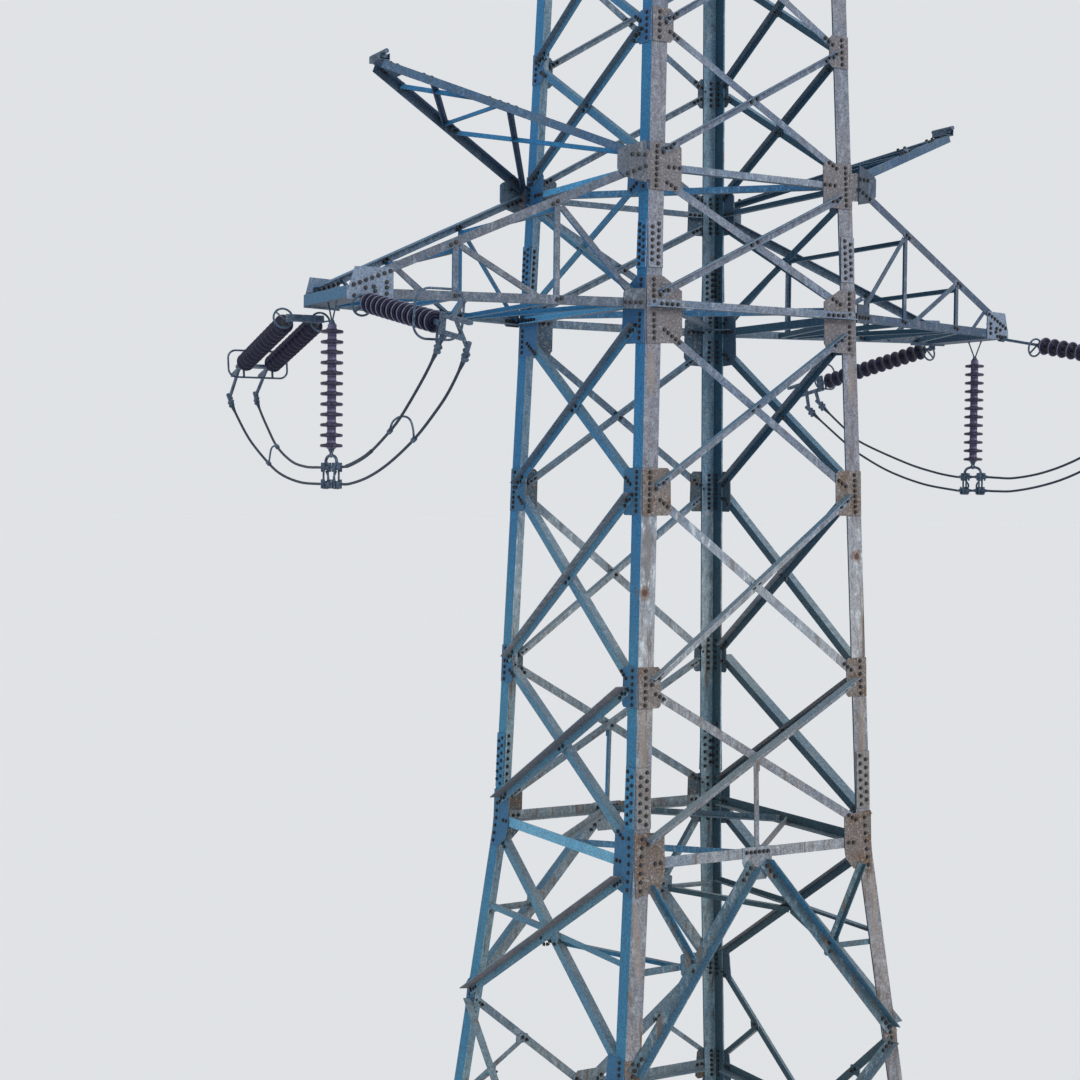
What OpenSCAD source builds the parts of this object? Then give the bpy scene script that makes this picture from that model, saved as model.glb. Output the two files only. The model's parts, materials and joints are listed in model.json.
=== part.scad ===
// Lattice transmission pylon with one crossarm, two earth wire horns and tension sets.
// Millimetres, +Z up, ground at z = 0, +X along the crossarm, -Y is the near face.

/* [Body heights] */
// Height of the lower chord ring above the ground
base_h = 8280; // [7000:10:9500]
// Panel from the lower ring up to the knee joints
knee_h = 1435; // [1200:5:1700]
// Panel from the knee joints up to the waist
haunch_h = 2245; // [1900:5:2600]
// First crossed panel above the waist
panel_1 = 1910; // [1600:5:2200]
// Second crossed panel
panel_2 = 2130; // [1800:5:2400]
// Third crossed panel, up to the crossarm's lower chord
panel_3 = 2050; // [1700:5:2400]
// Depth of the crossarm at the body
arm_depth = 1495; // [1300:5:1800]
// First crossed panel above the crossarm
panel_5 = 1545; // [1300:5:1800]
// Second crossed panel above the crossarm, up to the crown
panel_6 = 1550; // [1300:5:1800]
// Height of the pointed cap above the crown
peak_h = 2300; // [1600:50:3000]

/* [Body widths] */
// Half the width over the leg heels at the waist
waist_half = 1627; // [1500:1:1800]
// How far each leg leans in per unit of height above the waist
taper_up = 0.0315; // [0.02:0.0005:0.045]
// How far each leg spreads out per unit of height below the waist
taper_down = 0.104; // [0.08:0.001:0.13]

/* [Sections] */
// Flange width of the leg angles
leg_w = 200; // [160:5:240]
// Thickness of the leg angles
leg_t = 20; // [14:1:26]
// Flange width of the crossed diagonals
x_w = 90; // [70:5:110]
// Width of the standing flange of the long outer diagonals
st_w = 140; // [110:5:160]
// Flange width of the heavy lower diagonals
k_w = 130; // [100:5:150]
// Flange width of the waist and ring chords
ring_w = 120; // [90:5:140]
// Flange width of the light horizontals and redundant bars
red_w = 65; // [50:5:80]
// Thickness of the bracing angles
bar_t = 9; // [6:1:12]
// Distance of the bracing work lines from the leg heel
work_in = 105; // [90:5:130]
// Clear gap between a leg flange and the end of an inner bar
end_gap = 12; // [6:1:25]
// Distance of an outer bar's end from the leg heel, on the gusset
gusset_lap = 150; // [120:5:180]

/* [Plates] */
// Thickness of the gusset plates
gusset_t = 12; // [8:1:16]
// Thickness of the leg splice plates
splice_t = 14; // [10:1:20]
// Length of the upper leg splice plates
splice_up_h = 520; // [440:10:560]
// Length of the lower leg splice plates
splice_low_h = 660; // [560:10:700]
// Gap left between the lower and upper leg angles
splice_gap = 6; // [3:1:10]

/* [Feet] */
// Side of the square base plates
foot_w = 520; // [460:10:600]
// Thickness of the base plates
foot_t = 30; // [20:1:40]
// Distance between anchor bolt holes
anchor_pitch = 380; // [320:10:420]
// Diameter of the anchor bolt holes
anchor_d = 48; // [36:1:56]
// Height of the stiffening ribs on a base plate
rib_h = 240; // [160:10:320]

/* [Crossarm] */
// Distance of the crossarm tip nodes from the tower axis
tip_x = 4450; // [4000:10:5000]
// Half the distance between the near and far tip nodes
tip_y = 630; // [560:5:700]
// Height of the top chord over the bottom chord at the tip node
tip_h = 120; // [100:5:160]
// Flange width of the crossarm chords
arm_w = 95; // [80:5:110]
// Flange width of the crossarm lacing
lace_w = 60; // [45:5:70]
// Distance of the first lacing frame from the tower axis
lace_x1 = 2400; // [2200:10:2600]
// Distance of the second lacing frame from the tower axis
lace_x2 = 3470; // [3250:10:3600]
// Length of the tip side plates
tip_plate_l = 490; // [420:10:540]
// Height of the tip side plates
tip_plate_h = 330; // [280:10:380]
// Width of the beam that joins the tip side plates
tip_beam_w = 300; // [240:10:360]

/* [Horns] */
// Distance of an earth wire horn's tip from the tower axis
horn_x = 3950; // [3600:10:4300]
// Rise of a horn's tip above the crossarm's top chord
horn_rise = 1070; // [900:10:1400]
// Flange width of the horn chords
horn_w = 95; // [80:5:110]
// Distance between the horn chords at the tip
horn_tip_gap = 150; // [120:5:200]

/* [Insulators] */
// Diameter of a disc of the jumper strings
disc_d = 245; // [230:5:280]
// Diameter of a disc of the tension strings
pull_d = 220; // [200:5:260]
// Distance between discs of a jumper string
hang_pitch = 111; // [100:1:125]
// Discs in a jumper string
hang_n = 12; // [8:1:12]
// Distance between discs of a tension string
pull_pitch = 146; // [130:1:150]
// Discs in a tension string
pull_n = 13; // [9:1:13]
// Diameter of the metal caps between discs
cap_d = 92; // [80:2:104]
// Link between the crossarm's tip and a tension string
near_link = 120; // [90:5:180]
// Link of the near right tension string
long_link = 640; // [500:10:700]
// Distance between the two strings of the paired set
pair_gap = 350; // [320:5:420]
// Fall of the tension strings, in degrees below level
pull_fall = 10.5; // [6:0.5:14]
// Turn of the far tension strings towards the line's middle, in degrees
far_turn = 6; // [0:0.5:10]
// Turn of the near tension strings away from the line's middle, in degrees
near_turn = 3; // [0:0.5:8]
// Diameter of the arcing rings' tube
horn_d = 24; // [18:1:30]
// Diameter of the dead-end clamp tubes
dead_d = 54; // [44:2:64]

/* [Jumpers] */
// Diameter of the jumper conductors
wire_d = 30; // [26:1:34]

/* [Hidden] */

$fn = 32;
// How far a plate is let into the bars that it joins
weld = 1;

// Levels from the ground up
z7 = base_h;
z6 = z7 + knee_h;
z5 = z6 + haunch_h;
z4 = z5 + panel_1;
z3 = z4 + panel_2;
z2 = z3 + panel_3;
z1 = z2 + arm_depth;
z0 = z1 + panel_5;
zc = z0 + panel_6;
zp = zc + peak_h;

c_leg = [0.56, 0.60, 0.64];
c_bar = [0.60, 0.64, 0.68];
c_plate = [0.50, 0.48, 0.47];
c_disc = [0.25, 0.16, 0.17];
c_fit = [0.42, 0.45, 0.48];
c_wire = [0.20, 0.21, 0.22];

function hw(z) = z >= z5 ? waist_half - taper_up * (z - z5) : waist_half + taper_down * (z5 - z);
function unit(v) = v / norm(v);
function mix(a, b, t) = a + (b - a) * t;
// A point on the near face, u across and z up, and the outward normal there
function fp(u, z) = [u, -hw(z), z];
function fn_up() = unit([0, -1, taper_up]);
function fn_low() = unit([0, -1, taper_down]);
function wu(z) = hw(z) - work_in;
function leg_in() = leg_w + end_gap;

// Places children with local x, y and z along v, w and e
module along(o, v, w, e) {
  multmatrix([[v[0], w[0], e[0], o[0]], [v[1], w[1], e[1], o[1]],
              [v[2], w[2], e[2], o[2]], [0, 0, 0, 1]]) children();
}

// Angle bar from a to b. The flat flange lies in the plane with outward normal n, its near
// face at distance off; the other flange, st wide, stands inward, or outward when out = 1.
module angle_bar(a, b, n, s, t, side = 1, off = 0, out = 0, ea = 0, eb = 0, st = 0) {
  e = unit(b - a);
  v = unit(cross(n, e));
  w = cross(e, v);
  f = st > 0 ? st : s;
  along(a + e * ea, v, w, e)
    linear_extrude(height = norm(b - a) - ea - eb)
      mirror([side > 0 ? 0 : 1, 0]) translate([-s / 2, out ? off : off - t]) union() {
        square([s, t]);
        translate([s - t, out ? 0 : t - f]) square([t, f]);
      }
}
// How far an inner bar on line a to b, s wide, stays from a to clear the leg flange
function trim_in(a, b, s) = let (e = unit(b - a))
  (leg_w + end_gap - work_in + s / 2 * abs(e[2])) / norm([e[0], e[1]]);
// How far an outer bar stays from a, so that its end lies on the gusset
function trim_out(a, b, s) = let (e = unit(b - a))
  (gusset_lap - work_in + s / 2 * abs(e[2])) / norm([e[0], e[1]]);

// Flat plate with its outline in the plane through o, u across and v up, t thick along n
module plate_at(o, u, n, t, off = 0) {
  uu = unit(u - n * (u * n));
  vv = cross(n, uu);
  along(o + n * off, uu, vv, n) linear_extrude(height = t) children();
}

// The four faces: 0 near, 1 right, 2 far, 3 left
module face(k) { rotate([0, 0, 90 * k]) children(); }

// Legs
module leg_angle(za, zb) {
  a = [-hw(za), -hw(za), za];
  b = [-hw(zb), -hw(zb), zb];
  e = unit(b - a);
  v = unit([1, 0, 0] - e * e[0]);
  w = cross(e, v);
  along(a, v, w, e) linear_extrude(height = norm(b - a))
    union() { square([leg_w, leg_t]); square([leg_t, leg_w]); }
}
module leg_pair() {
  // lower angle, cut level at the base plate
  difference() {
    leg_angle(-120, z5 - splice_gap / 2);
    translate([-2 * hw(0), -2 * hw(0), foot_t - 600]) cube([2 * hw(0), 2 * hw(0), 600]);
  }
  leg_angle(z5 + splice_gap / 2, zc);
}
module leg_near_left() { color(c_leg) leg_pair(); }
module leg_near_right() { color(c_leg) mirror([1, 0, 0]) leg_pair(); }
module leg_far_left() { color(c_leg) mirror([0, 1, 0]) leg_pair(); }
module leg_far_right() { color(c_leg) mirror([1, 0, 0]) mirror([0, 1, 0]) leg_pair(); }

// Base plates with anchor holes and ribs
foot_c = hw(0) - leg_w * 0.42;
module foot_rib(l) {
  rotate([90, 0, 0]) linear_extrude(height = gusset_t, center = true)
    polygon([[0, 0], [l, 0], [l, 30], [40, rib_h], [0, rib_h]]);
}
module foot() {
  reach = foot_w / 2 - (hw(0) - foot_c);
  translate([-foot_c, -foot_c, 0]) difference() {
    translate([-foot_w / 2, -foot_w / 2, 0]) cube([foot_w, foot_w, foot_t]);
    for (x = [-1, 1], y = [-1, 1]) translate([x, y, 0] * anchor_pitch / 2)
      translate([0, 0, -1]) cylinder(d = anchor_d, h = foot_t + 2);
  }
  // ribs stand on the plate and bear on the leg's outer faces
  for (m = [0, 1]) mirror([m, -m, 0])
    translate([-hw(rib_h + foot_t), -hw(0) + leg_w * 0.62, foot_t])
      mirror([1, 0, 0]) translate([2, 0, 0])
        foot_rib(reach - (hw(0) - hw(rib_h + foot_t)) - 6 + taper_down * rib_h);
}
module base_plates() {
  color(c_plate) for (k = [0:3]) face(k) foot();
}

// Plate that joins the inner and outer bars of one face, let a little into both
module hub(o, n) { plate_at(o, [1, 0, 0], n, gusset_t + 2 * weld, -weld) children(); }

// Base bracing: an inverted V with stepped redundants, one half each side
function base_z(i) = mix(z7 - ring_w / 2 - 60, foot_t + rib_h + 200, i / 3);
module base_half() {
  n = fn_low();
  top = fp(k_w * 0.6, base_z(0));
  low = fp(wu(base_z(3)), base_z(3));
  angle_bar(top, low, n, k_w, bar_t + 2, 1, gusset_t, 1, 0, -40);
  for (i = [1, 2]) {
    q = mix(top, low, i / 3);
    g = fp(wu(q[2]), q[2]);
    a = fp(wu(base_z(i - 1)), base_z(i - 1) - 90);
    angle_bar(g, q, n, red_w + 10, bar_t, 1, gusset_t, 1, -20, k_w * 0.65);
    angle_bar(a, fp(q[0], q[2] + 90), n, red_w, bar_t, -1, gusset_t, 1, -10, k_w * 1.25);
    hub(fp(q[0] + 70, q[2] + 100), n) clipped(300, 420, 60);
  }
}
module clipped(w, h, c) {
  polygon([[-w / 2 + c, -h / 2], [w / 2 - c, -h / 2], [w / 2, -h / 2 + c], [w / 2, h / 2 - c],
    [w / 2 - c, h / 2], [-w / 2 + c, h / 2], [-w / 2, h / 2 - c], [-w / 2, -h / 2 + c]]);
}
module base_bracing(k) {
  color(c_bar) face(k) for (m = [0, 1]) mirror([m, 0, 0]) base_half();
}
module base_bracing_near() { base_bracing(0); }
module base_bracing_right() { base_bracing(1); }
module base_bracing_far() { base_bracing(2); }
module base_bracing_left() { base_bracing(3); }

// Redundant bar from the back of a leg flange to q, packed out to the face there
module back_bar(q, s, side) {
  p = fp(sign(q[0]) * (hw(q[2]) - leg_w * 0.55), q[2] - 10);
  e = unit(q - p);
  angle_bar(p, q, fn_low(), s, bar_t, side, -leg_t);
  plate_at(q - e * 45, e, fn_low(), leg_t + 2 * weld, -leg_t - weld) square([90, s - 10], center = true);
}
// Between the lower ring and the knees: one bar of the V with its redundant
module knee_half(m) {
  n = fn_low();
  top = fp(m * wu(z6), z6 - 60);
  low = fp(m * 60, z7 - 10);
  mid = mix(top, low, 0.45);
  g = fp(m * wu(z7), z7 + 90);
  angle_bar(top, low, n, x_w + 10, bar_t, 1, gusset_t, 1, -20, 40);
  angle_bar(g, mid, n, red_w, bar_t, m, gusset_t, 1, trim_out(g, mid, red_w), x_w * 0.85);
  hub(mid + [m * 40, 0, 0], n) clipped(170, 120, 20);
}
// Near and far faces between the knees and the waist: one bar of the inverted V
module haunch_half(m) {
  n = fn_low();
  top = fp(m * k_w * 0.6, z5 - ring_w / 2 - 60);
  low = fp(m * wu(z6), z6 + 70);
  mid = mix(top, low, 0.5);
  g = fp(m * wu(z5), z5 - 120);
  angle_bar(top, low, n, k_w, bar_t + 2, 1, gusset_t, 1, 0, -10);
  angle_bar(g, mid, n, red_w + 10, bar_t, 1, gusset_t, 1, trim_out(g, mid, red_w), k_w * 0.72);
  back_bar(mid + [m * 110, 0, 0], red_w, 1);
  hub(fp(mid[0] + m * 60, mid[2] + 25), n) clipped(210, 240, 20);
}
// Left and right faces between the knees and the waist: a cross with level redundants
module haunch_cross() {
  n = fn_low();
  a = fp(-wu(z6), z6 + 70);
  b = fp(wu(z5), z5 - 150);
  c = fp(wu(z6), z6 + 70);
  d = fp(-wu(z5), z5 - 150);
  zx = cross_z(z6 + 70, z5 - 150);
  angle_bar(a, b, n, x_w + 10, bar_t, 1, gusset_t, 1, -20, trim_out(b, a, x_w), st_w);
  angle_bar(c, d, n, x_w + 10, bar_t, -1, 0, 0, trim_in(c, d, x_w + 10), trim_in(d, c, x_w + 10));
  hub(fp(0, zx), n) clipped(420, 150, 40);
  for (m = [-1, 1]) back_bar(fp(m * 130, zx + 30), red_w, 1);
}
module waist_bracing_face(k) {
  color(c_bar) face(k) {
    for (m = [-1, 1]) { knee_half(m); if (k % 2 == 0) haunch_half(m); }
    if (k % 2 == 1) haunch_cross();
  }
}
module waist_bracing_near() { waist_bracing_face(0); }
module waist_bracing_right() { waist_bracing_face(1); }
module waist_bracing_far() { waist_bracing_face(2); }
module waist_bracing_left() { waist_bracing_face(3); }

// Crossed panels of the upper body: the rising bar lies outside the gussets, the other
// one inside; da and db move the end nodes off the levels, flip swaps the two bars and
// tail lengthens the middle plate downwards
module cross_panel(za, zb, s, da = 0, db = 0, st = 0, flip = 0, tail = 0) {
  n = fn_up();
  a = fp(-wu(za), za + da);
  b = fp(wu(zb), zb - db);
  c = fp(wu(za), za + da);
  d = fp(-wu(zb), zb - db);
  mirror([flip, 0, 0]) {
    angle_bar(a, b, n, s, bar_t, 1, gusset_t, 1, trim_out(a, b, s), trim_out(b, a, s), st);
    angle_bar(c, d, n, s, bar_t, -1, 0, 0, trim_in(c, d, s), trim_in(d, c, s));
    hub(fp(0, cross_z(za + da, zb - db)), n) {
      clipped(s + 20, s + 20, 20);
      if (tail > 0) translate([-red_w * 0.6, -tail]) square([red_w * 1.2, tail]);
    }
  }
}
// Height where the bars of a crossed panel meet
function cross_z(za, zb) = za + (zb - za) * wu(za) / (wu(za) + wu(zb));
module body_bracing(k) {
  color(c_bar) face(k) {
    cross_panel(z5, z4, x_w + 10, 190, 0, st_w, 0, k % 2 == 0 ? 155 : 0);
    cross_panel(z4, z3, x_w + 10);
    cross_panel(z3, z2, x_w, 0, 200);
    cross_panel(z2, z1, x_w, 70, 110, 0, k % 2);
    cross_panel(z1, z0, x_w - 10, 130, 0);
    cross_panel(z0, zc, x_w - 10, 0, 60);
    // hanger from the lowest crossing down between the halves of the waist chord
    if (k % 2 == 0) {
      top = cross_z(z5 + 190, z4);
      angle_bar(fp(0, top - 75), fp(0, z5 - ring_w / 2), fn_up(), red_w, bar_t, 1);
    }
  }
}
module body_bracing_near() { body_bracing(0); }
module body_bracing_right() { body_bracing(1); }
module body_bracing_far() { body_bracing(2); }
module body_bracing_left() { body_bracing(3); }

// Level chords round the body: behind the gussets, or in front of them when out = 1
module level_chord(z, n, s, t, out, back, mid = 0) {
  for (m = mid > 0 ? [-1, 1] : [1]) {
    a = fp(m * (hw(z) - back), z);
    b = mid > 0 ? fp(m * mid, z) : fp(back - hw(z), z);
    angle_bar(a, b, n, s, t, m, out ? gusset_t : 0, out);
  }
}
module ring_chords() {
  color(c_bar) for (k = [0:3]) face(k) {
    level_chord(z7, fn_low(), ring_w, bar_t + 1, 0, leg_in());
    level_chord(z5, fn_up(), ring_w, bar_t + 1, 0, leg_in(), k % 2 ? 0 : red_w / 2 + 12);
    level_chord(z2, fn_up(), arm_w, bar_t, 1, k % 2 == 0 ? 40 : gusset_lap);
    level_chord(z1, fn_up(), red_w + 10, bar_t, 0, leg_in());
    level_chord(zc - 60, fn_up(), x_w, bar_t, 1, leg_w * 0.5);
    // middle plates where the bars of the V meet the chords
    plate_at(fp(0, z7), [1, 0, 0], fn_low(), gusset_t) clipped(460, 380, 60);
    if (k % 2 == 0) plate_at(fp(0, z5 + ring_w / 2 + 6), [1, 0, 0], fn_up(), gusset_t)
      polygon([[-200, 0], [-200, -170], [-120, -370], [120, -370], [200, -170], [200, 0]]);
  }
}

// Level bracing at the waist: diamonds on the chords, and struts between the faces
module diamond(z, lean) {
  m = hw(z) - ring_w / 4;
  seat = z - ring_w / 2 + bar_t + 1 - lean * ring_w * 0.7;
  for (k = [0:3]) face(k)
    angle_bar([0, -m, seat], [m, 0, seat], [0, 0, -1], red_w + 10, bar_t, 1, 0, 0, 70, 70);
}
module plan_bracing_waist() {
  color(c_bar) {
    diamond(z5, taper_up);
    diamond(z7, taper_down);
    // struts from the crossings of the side faces to the V bars of the near and far faces
    zs = cross_z(z6 + 70, z5 - 150) - 40;
    kx = mix(k_w * 0.6, wu(z6), 0.5);
    for (x = [-1, 1], y = [-1, 1])
      angle_bar([x * (hw(zs) - 14), 0, zs], [x * (kx + 95), y * (hw(zs) - 14), zs], [0, 0, 1],
        red_w, bar_t, x * y, 0, 0, 30, 30);
  }
}

// Level bracing at the crossarm, on plates in the corners. The plates lie on the chords
// at the upper level, and meet the backs of the gussets at the lower one.
module corner_plan(z, seat, edge, crossed) {
  h = hw(z);
  c = h - 135;
  for (k = [0:3]) face(k) if (crossed || k % 2 == 1) translate([-h, -h, seat])
    linear_extrude(height = gusset_t)
      polygon([[edge, 235], [235, edge], [370, edge], [370, 60], [60, 370], [edge, 370]]);
  angle_bar([-c, c, seat + gusset_t], [c, -c, seat + gusset_t], [0, 0, -1], red_w + 10, bar_t);
  f = ((red_w + 10) / 2 - weld) * sqrt(0.5);
  if (crossed) for (m = [-1, 1])
    angle_bar([m * c, m * c, seat + gusset_t], [m * f, m * f, seat + gusset_t], [0, 0, -1],
      red_w + 10, bar_t, m);
}
module plan_bracing_crossarm() {
  color(c_bar) {
    corner_plan(z1, z1 - (red_w + 10) / 2 + bar_t - weld, 25, false);
    corner_plan(z2, z2 + 20, 0, true);
  }
}

// Gussets: w is measured from the leg heel, h is the whole height
module gusset_shape(w, h, c) {
  polygon([[4, -h / 2], [w - c, -h / 2], [w, -h / 2 + c], [w, h / 2 - c], [w - c, h / 2],
    [4, h / 2]]);
}
module gusset_at(m, z, n) {
  mirror([m > 0 ? 1 : 0, 0, 0]) plate_at(fp(-hw(z), z), [1, 0, 0], n, gusset_t) children();
}
module gusset_pair(z, n, w, h, c) {
  for (k = [0:3]) face(k) for (m = [-1, 1]) gusset_at(m, z, n) gusset_shape(w, h, c);
}
// The waist gusset is bent where the legs turn: a bent strip, cut to the plate's outline
module bent_gusset() {
  reach = 360;
  up = gusset_t * norm([1, taper_up]);
  down = gusset_t * norm([1, taper_down]);
  bend = (up - down) / (taper_up - taper_down);
  translate([-hw(z5), -hw(z5), z5]) intersection() {
    rotate([90, 0, 90]) linear_extrude(height = 400)
      polygon([[taper_up * reach, reach], [0, 0], [-taper_down * reach, -reach],
        [-taper_down * reach - down, -reach], [taper_up * bend - up, bend], [taper_up * reach - up, reach]]);
    rotate([90, 0, 0]) linear_extrude(height = 200, center = true)
      polygon([[4, -350], [270, -300], [375, -190], [390, -90], [390, 290], [340, 330], [4, 350]]);
  }
}
module gusset_plates_lower() {
  color(c_plate) {
    for (k = [0:3]) face(k) for (m = [-1, 1]) {
      mirror([m > 0 ? 1 : 0, 0, 0]) bent_gusset();
      // pads under the bar ends at the knees, wider where a bar ends behind one
      gusset_at(m, z6, fn_low()) gusset_shape(k % 2 == 1 && m == 1 ? leg_w + 150 : leg_w - 10, 400, 20);
    }
    gusset_pair(z7, fn_low(), 320, 420, 40);
    for (i = [1, 2]) gusset_pair(base_z(i) - 60, fn_low(), leg_w - 10, 400, 20);
    gusset_pair(base_z(3), fn_low(), 400, 380, 60);
  }
}
module gusset_plates_upper() {
  color(c_plate) {
    gusset_pair(z4, fn_up(), 290, 450, 30);
    gusset_pair(z3, fn_up(), 365, 520, 40);
    // the crossarm's lower joint has a plate above and a plate below the chord
    for (k = [0:3]) face(k) for (m = [-1, 1]) gusset_at(m, z2, fn_up())
      polygon([[4, -440], [400, -425], [460, -330], [460, 150], [220, 300], [4, 300]]);
    gusset_pair(z1, fn_up(), 415, 520, 40);
    gusset_pair(z0, fn_up(), 270, 370, 40);
    gusset_pair(zc - 60, fn_up(), 300, 300, 40);
  }
}

// Cover plates over the joints of the leg angles
module splice(z, h) {
  for (k = [0:3]) face(k) for (m = [0, 1]) mirror([m, 0, 0])
    plate_at(fp(-hw(z), z), [1, 0, 0], fn_up(), splice_t)
      translate([6, -h / 2]) square([leg_w - 14, h]);
}
module splice_plates() {
  color(c_plate) {
    splice(z2 + 390 + splice_up_h / 2, splice_up_h);
    splice(z5 + 385 + splice_low_h / 2, splice_low_h);
  }
}

// Pointed cap: four rafters, a mast plate and a ring
module peak() {
  color(c_leg) {
    a = [-hw(zc), -hw(zc), zc];
    top = [-40, -40, zp];
    e = unit(top - a);
    v = unit([1, 0, 0] - e * e[0]);
    w = cross(e, v);
    for (k = [0:3]) face(k) {
      along(a + e * 8, v, w, e) linear_extrude(height = norm(top - a) - 60)
        union() { square([x_w + 20, bar_t + 3]); square([bar_t + 3, x_w + 20]); }
    }
    translate([0, 0, zp - 260]) cylinder(d = 190, h = 260, $fn = 8);
    // light ties half way up
    zt = mix(zc, zp, 0.45);
    ht = mix(hw(zc), 40, 0.45);
    for (k = [0:3]) face(k)
      angle_bar([-ht, -ht, zt], [ht, -ht, zt], unit([0, -1, (hw(zc) - 40) / peak_h]), red_w,
        bar_t, 1, 0, 0, 20, 20);
  }
}

// Crossarm side truss, drawn for the left near quarter
function arm_root_low() = [-hw(z2) - gusset_t - 4, -hw(z2), z2];
function arm_root_up() = [-hw(z1) - gusset_t - 4, -hw(z1), z1];
function arm_tip_low() = [-tip_x, -tip_y, z2];
function arm_tip_up() = [-tip_x, -tip_y, z2 + tip_h];
function arm_n() = unit(cross(arm_root_low() - arm_tip_low(), [0, 0, 1]));
function arm_low(x) = mix(arm_root_low(), arm_tip_low(),
  (x - hw(z2) - gusset_t - 4) / (tip_x - hw(z2) - gusset_t - 4));
function arm_up(x) = mix(arm_root_up(), arm_tip_up(),
  (x - hw(z1) - gusset_t - 4) / (tip_x - hw(z1) - gusset_t - 4));
module arm_side() {
  n = arm_n();
  // keep every bar in one plane through the lower chord
  l = function(x) arm_low(x);
  u = function(x) [arm_low(x)[0], arm_low(x)[1], arm_up(x)[2]];
  ru = [arm_root_low()[0], arm_root_low()[1], z1];
  angle_bar(arm_root_low(), l(tip_x), n, arm_w, bar_t, 1, 0, 0, 0, 0);
  angle_bar(ru, u(tip_x), n, arm_w, bar_t, -1, 0, 0, 0, 0);
  for (x = [lace_x1, lace_x2])
    angle_bar(l(x), u(x), n, lace_w, bar_t, 1, weld - bar_t, 0, 20, 20);
  angle_bar(l(hw(z2) + 80), u(lace_x1), n, lace_w, bar_t, 1, weld - bar_t, 0, 10, 60);
  angle_bar(l(lace_x1 + 160), u(lace_x2), n, lace_w, bar_t, 1, weld - bar_t, 0, 10, 60);
  angle_bar(l(mix(lace_x2, tip_x, 0.33)), u(mix(lace_x2, tip_x, 0.64)), n, lace_w - 10, bar_t,
    1, weld - bar_t, 0, -10, -10);
  // root plates that carry the chords at the leg
  plate_at(arm_root_low(), [-1, 0, 0], n, gusset_t + weld, -weld)
    mirror([0, 1, 0]) polygon([[0, -70], [210, -70], [240, -40], [240, 100], [200, 150], [0, 150]]);
  plate_at(ru, [-1, 0, 0], n, gusset_t + weld, -weld)
    mirror([0, 1, 0]) polygon([[0, -200], [250, -150], [330, -70], [330, 130], [290, 165], [0, 260]]);
}
module crossarm_left_near() { color(c_bar) arm_side(); }
module crossarm_left_far() { color(c_bar) mirror([0, 1, 0]) arm_side(); }
module crossarm_right_near() { color(c_bar) mirror([1, 0, 0]) arm_side(); }
module crossarm_right_far() { color(c_bar) mirror([1, 0, 0]) mirror([0, 1, 0]) arm_side(); }

// Struts and flat lacing between the near and far trusses
module arm_ties() {
  u = function(x) [arm_low(x)[0], arm_low(x)[1], arm_up(x)[2]];
  far = function(p) [p[0], -p[1], p[2]];
  // lower struts and lacing lie on the level flanges of the lower chords
  seat = z2 - arm_w / 2 + bar_t;
  on = function(x) [arm_low(x)[0], arm_low(x)[1] + 2 * bar_t, seat];
  for (x = [lace_x1, lace_x2])
    angle_bar(on(x), far(on(x)), [0, 0, -1], lace_w, bar_t, 1);
  xs = [hw(z2) + 30, lace_x1, lace_x2, tip_x - 140];
  for (i = [0:2]) {
    p = on(xs[i] + 110);
    q = far(on(xs[i + 1] - 110));
    if (i % 2 == 0) angle_bar(p, q, [0, 0, -1], lace_w, bar_t, 1, 0, 0, 40, 40);
    else angle_bar(far(p), far(q), [0, 0, -1], lace_w, bar_t, 1, 0, 0, 40, 40);
  }
  // upper struts lie against the standing flanges of the upright lacing
  for (x = [lace_x1, lace_x2]) {
    a = [-x - lace_w / 2 + bar_t, u(x)[1] + 2 * bar_t + 4, u(x)[2] - 75];
    angle_bar(a, far(a), [-1, 0, 0], lace_w, bar_t, 1);
  }
}
module crossarm_left_ties() { color(c_bar) arm_ties(); }
module crossarm_right_ties() { color(c_bar) mirror([1, 0, 0]) arm_ties(); }

// Tip boxes: two side plates, a beam across below them and lugs for the strings
module arm_tip() {
  n = arm_n();
  for (m = [0, 1]) mirror([0, m, 0])
    plate_at(arm_tip_low(), [-1, 0, 0], n, gusset_t) mirror([0, 1, 0])
      polygon([[140, -70], [140, 0], [60, tip_plate_h - 60], [-60, tip_plate_h - 60],
        [140 - tip_plate_l, tip_plate_h - 60], [140 - tip_plate_l, -70]]);
  // channel beam between the side plates
  y0 = tip_y - 30;
  translate([-tip_x - 140, -y0, z2 - 40 - gusset_t]) cube([tip_beam_w, 2 * y0, gusset_t]);
  translate([-tip_x - 140, -y0, z2 - 40]) cube([gusset_t, 2 * y0, 110]);
  translate([-tip_x - 140 + tip_beam_w - gusset_t, -y0, z2 - 40]) cube([gusset_t, 2 * y0, 110]);
}
module crossarm_tips() {
  color(c_plate) { arm_tip(); mirror([1, 0, 0]) arm_tip(); }
}

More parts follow.
